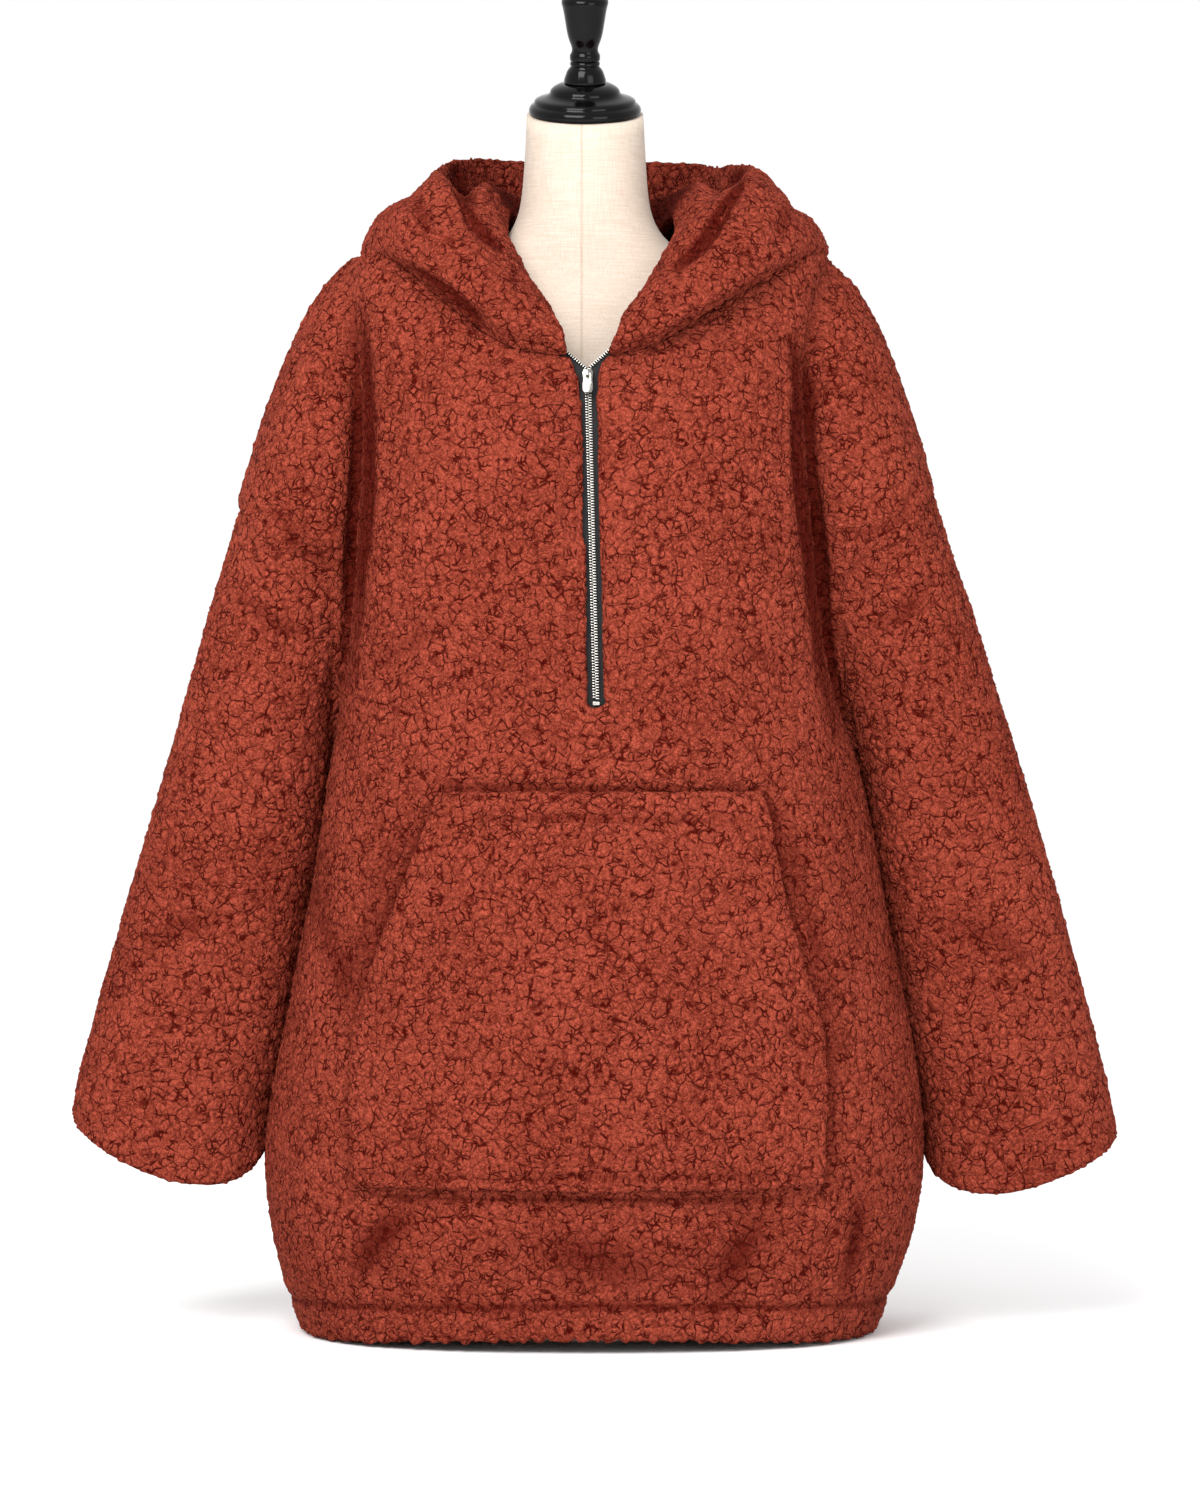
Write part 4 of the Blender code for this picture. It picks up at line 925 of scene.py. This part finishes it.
def teeth_row(name, node, side, look, settings):
    """A row of teeth clamped on its tape's edge, half a pitch off the other row."""
    path = strip_path(node)
    tooth = one_tooth(settings)
    model = tooth.data
    row = new_piece(name, bpy.data.meshes.new(name))
    copies = [row]
    far = settings.pitch * FIRST_TOOTH[side]
    while True:
        place, way = along(path, far)
        if place is None:
            break
        depth = Vector((1, 0, 0)).cross(way).normalized()
        across = way.cross(depth)
        turn = Matrix((side * across, -depth, way)).transposed().to_4x4()
        middle = place - side * across * TOOTH_INWARDS
        single = new_piece(name, model.copy())
        single.data.transform(Matrix.Translation(middle) @ turn)
        if side < 0:
            single.data.flip_normals()
        copies.append(single)
        far += settings.pitch
    bpy.ops.object.select_all(action="DESELECT")
    for single in copies:
        single.select_set(True)
    bpy.context.view_layer.objects.active = row
    bpy.ops.object.join()
    bpy.data.objects.remove(tooth)
    only(row)
    bpy.ops.object.shade_smooth_by_angle(angle=TURNED_EDGE)
    finish_piece(row, look, node)


# ================================================================ settings
class FleeceSettings(bpy.types.PropertyGroup):
    """The fleece's colours and pile."""
    light: StringProperty(name="Tips", description="sRGB colour of the pile's tips",
                          default="#9d4534")
    base: StringProperty(name="Pile", description="sRGB colour of the pile", default="#602014")
    # The gaps' colour is painted shade: the gaps, the clumps' edges, the folds and the hood's hollow
    # are darkened towards it.
    deep: StringProperty(name="Gaps", description="sRGB colour between the clumps",
                         default="#3f0401")
    clump: FloatProperty(name="Clump size", description="Width of a curled clump of pile",
                         default=10.8 * MM, unit="LENGTH")
    relief: FloatProperty(name="Relief", description="Depth of the gaps between clumps",
                          default=1.5 * MM, unit="LENGTH")
    swell: FloatProperty(name="Swell", description="Slow rise and fall of the pile",
                         default=1.6 * MM, unit="LENGTH")
    coarseness: FloatProperty(name="Coarseness", description="Scales the spacing of the mesh",
                              default=1.0, min=0.5, max=4.0)


class ZipSettings(bpy.types.PropertyGroup):
    """The zip's teeth."""
    pitch: FloatProperty(name="Pitch", description="Spacing of the teeth on one tape",
                         default=2.34 * MM, unit="LENGTH")
    tooth_wide: FloatProperty(name="Tooth width", description="Length of a tooth across the zip",
                              default=3.0 * MM, unit="LENGTH")
    tape_wide: FloatProperty(name="Tape width", description="Width of one tape",
                             default=12 * MM, unit="LENGTH")


class FormSettings(bpy.types.PropertyGroup):
    """The dress form."""
    linen: StringProperty(name="Linen", description="sRGB colour of the cover", default="#c4b6a8")
    linen_dark: StringProperty(name="Linen shade", description="sRGB colour between its threads",
                               default="#b6a595")
    seam: StringProperty(name="Seam", description="sRGB colour of the cover's sewn seam",
                         default="#8c7868")
    sides: IntProperty(name="Sides", description="Facets round the turned pieces", default=96,
                       min=12)


class StageSettings(bpy.types.PropertyGroup):
    """The floor, lights and camera."""
    distance: FloatProperty(name="Camera distance", description="From the form's axis",
                            default=4.5, unit="LENGTH")
    height: FloatProperty(name="Camera height", description="Above the floor", default=0.581,
                          unit="LENGTH")
    pitch: FloatProperty(name="Camera pitch", description="Looking down", default=math.radians(1),
                         subtype="ANGLE")


# ================================================================ operators
class PULLOVER_OT_fleece(bpy.types.Operator):
    """Dress the front, back, sleeves, hood and pocket in fleece"""
    bl_idname = "pullover.fleece"
    bl_label = "Fleece panels"

    def execute(self, context):
        settings = context.scene.pullover_fleece
        pile = pile_nodes(settings)
        look = sherpa_fleece(settings)
        for name in PANELS:
            fleece_piece(name, look, pile, settings)
        return {"FINISHED"}


class PULLOVER_OT_zip(bpy.types.Operator):
    """Weave the tapes, stamp the teeth and finish the slider"""
    bl_idname = "pullover.zip"
    bl_label = "Zip"

    def execute(self, context):
        settings = context.scene.pullover_zip
        # Stamped brass teeth, and a die-cast zinc slider and pull tab whose nickel is a darker copy
        # of the teeth's, as painted shade, with a sharper gloss.
        stamped = nickel_plated("nickel_plated_brass", "#bab6ae", 0.32)
        cast = nickel_plated("nickel_plated_zinc", "#938f89", 0.13)
        tape = zip_tape_weave()
        for word, side in (("left", -1), ("right", 1)):
            piece = zip_tape("tape_" + word, "zip_tape_" + word, side, tape, settings)
            teeth_row("teeth_" + word, "zip_teeth_" + word, side, stamped, settings)
        rounded_copy("slider", "zip_slider", cast, PULLOVER_BODY, 0.35 * MM)
        rounded_copy("bottom_stop", "zip_bottom_stop", stamped, PULLOVER_BODY, 0.5 * MM)
        rounded_copy("pull_tab", "zip_pull_tab", cast, ZIP_PULL_BODY, 0.3 * MM)
        return {"FINISHED"}


class PULLOVER_OT_dress_form(bpy.types.Operator):
    """Cover the form in linen, lacquer its cap and coat its stand"""
    bl_idname = "pullover.dress_form"
    bl_label = "Dress form"

    def execute(self, context):
        settings = context.scene.pullover_form
        cover = linen(settings)
        body = soft_body("form_cover", "form_body")
        body.data.shade_smooth()
        finish_piece(body, cover, "form_body")
        lacquer = black_lacquer()
        spun_piece("neck_cap", "form_neck_cap", NECK_CAP, lacquer, settings.sides, PART_GAP)
        spun_piece("finial", "form_finial", FINIAL, lacquer, settings.sides,
                   NECK_CAP[-1][1] * MM + 2 * PART_GAP)
        rounded_copy("pole", "form_pole", powder_coat("black_powder_coat", "#17171a"),
                     PULLOVER_BODY, 0.6 * MM)
        rounded_copy("base_plate", "form_base", powder_coat("white_powder_coat", "#f1f1f0"),
                     PULLOVER_BODY, 0.6 * MM)
        return {"FINISHED"}


class PULLOVER_OT_stage(bpy.types.Operator):
    """Set the pale floor, the soft lights and the camera"""
    bl_idname = "pullover.stage"
    bl_label = "Stage"

    def execute(self, context):
        settings = context.scene.pullover_stage
        bpy.ops.object.select_all(action="DESELECT")
        bpy.ops.mesh.primitive_plane_add(size=FLOOR_SIZE, location=(0, 0, 0))
        floor = context.active_object
        floor.name = "studio_floor"
        floor.data.materials.append(plain_look("white_studio_vinyl", "#ffffff", 0.6))
        world = bpy.data.worlds.new("studio")
        world.use_nodes = True
        world.node_tree.nodes["Background"].inputs["Color"].default_value = (1, 1, 1, 1)
        world.node_tree.nodes["Background"].inputs["Strength"].default_value = 1.0
        context.scene.world = world
        context.scene.view_settings.view_transform = "Standard"
        for name, place, size, power in LIGHTS:
            light = bpy.data.lights.new(name, "AREA")
            light.size = size
            light.energy = power
            lamp = bpy.data.objects.new(name, light)
            lamp.location = place
            aim = Vector(LIT_MIDDLE) - Vector(place)
            lamp.rotation_euler = aim.to_track_quat("-Z", "Y").to_euler()
            context.scene.collection.objects.link(lamp)
        lens = bpy.data.cameras.new("camera")
        lens.sensor_fit = "HORIZONTAL"
        lens.sensor_width = SENSOR
        lens.lens = SENSOR * settings.distance / (FRAME_PIXELS * PIXEL)
        camera = bpy.data.objects.new("camera", lens)
        camera.location = (CAMERA_ASIDE, -settings.distance, settings.height)
        camera.rotation_euler = (math.radians(90) - settings.pitch, 0, 0)
        context.scene.collection.objects.link(camera)
        context.scene.camera = camera
        return {"FINISHED"}


class PULLOVER_PT_panel(bpy.types.Panel):
    """Lists the pieces in the 3D view's sidebar"""
    bl_idname = "PULLOVER_PT_panel"
    bl_label = "Sherpa pullover"
    bl_space_type = "VIEW_3D"
    bl_region_type = "UI"
    bl_category = "Pullover"

    def draw(self, context):
        for operator in OPERATORS:
            self.layout.operator(operator.bl_idname)


SETTINGS = {"pullover_fleece": FleeceSettings, "pullover_zip": ZipSettings,
            "pullover_form": FormSettings, "pullover_stage": StageSettings}
OPERATORS = (PULLOVER_OT_fleece, PULLOVER_OT_zip, PULLOVER_OT_dress_form, PULLOVER_OT_stage)


def register():
    for made in (*SETTINGS.values(), *OPERATORS, PULLOVER_PT_panel):
        bpy.utils.register_class(made)
    for name, group in SETTINGS.items():
        setattr(bpy.types.Scene, name, PointerProperty(type=group))


def unregister():
    for name in SETTINGS:
        delattr(bpy.types.Scene, name)
    for made in (PULLOVER_PT_panel, *reversed(OPERATORS), *reversed(SETTINGS.values())):
        bpy.utils.unregister_class(made)


def main():
    register()
    bpy.ops.pullover.fleece()
    bpy.ops.pullover.zip()
    bpy.ops.pullover.dress_form()
    bpy.ops.pullover.stage()


if __name__ == "__main__":
    main()
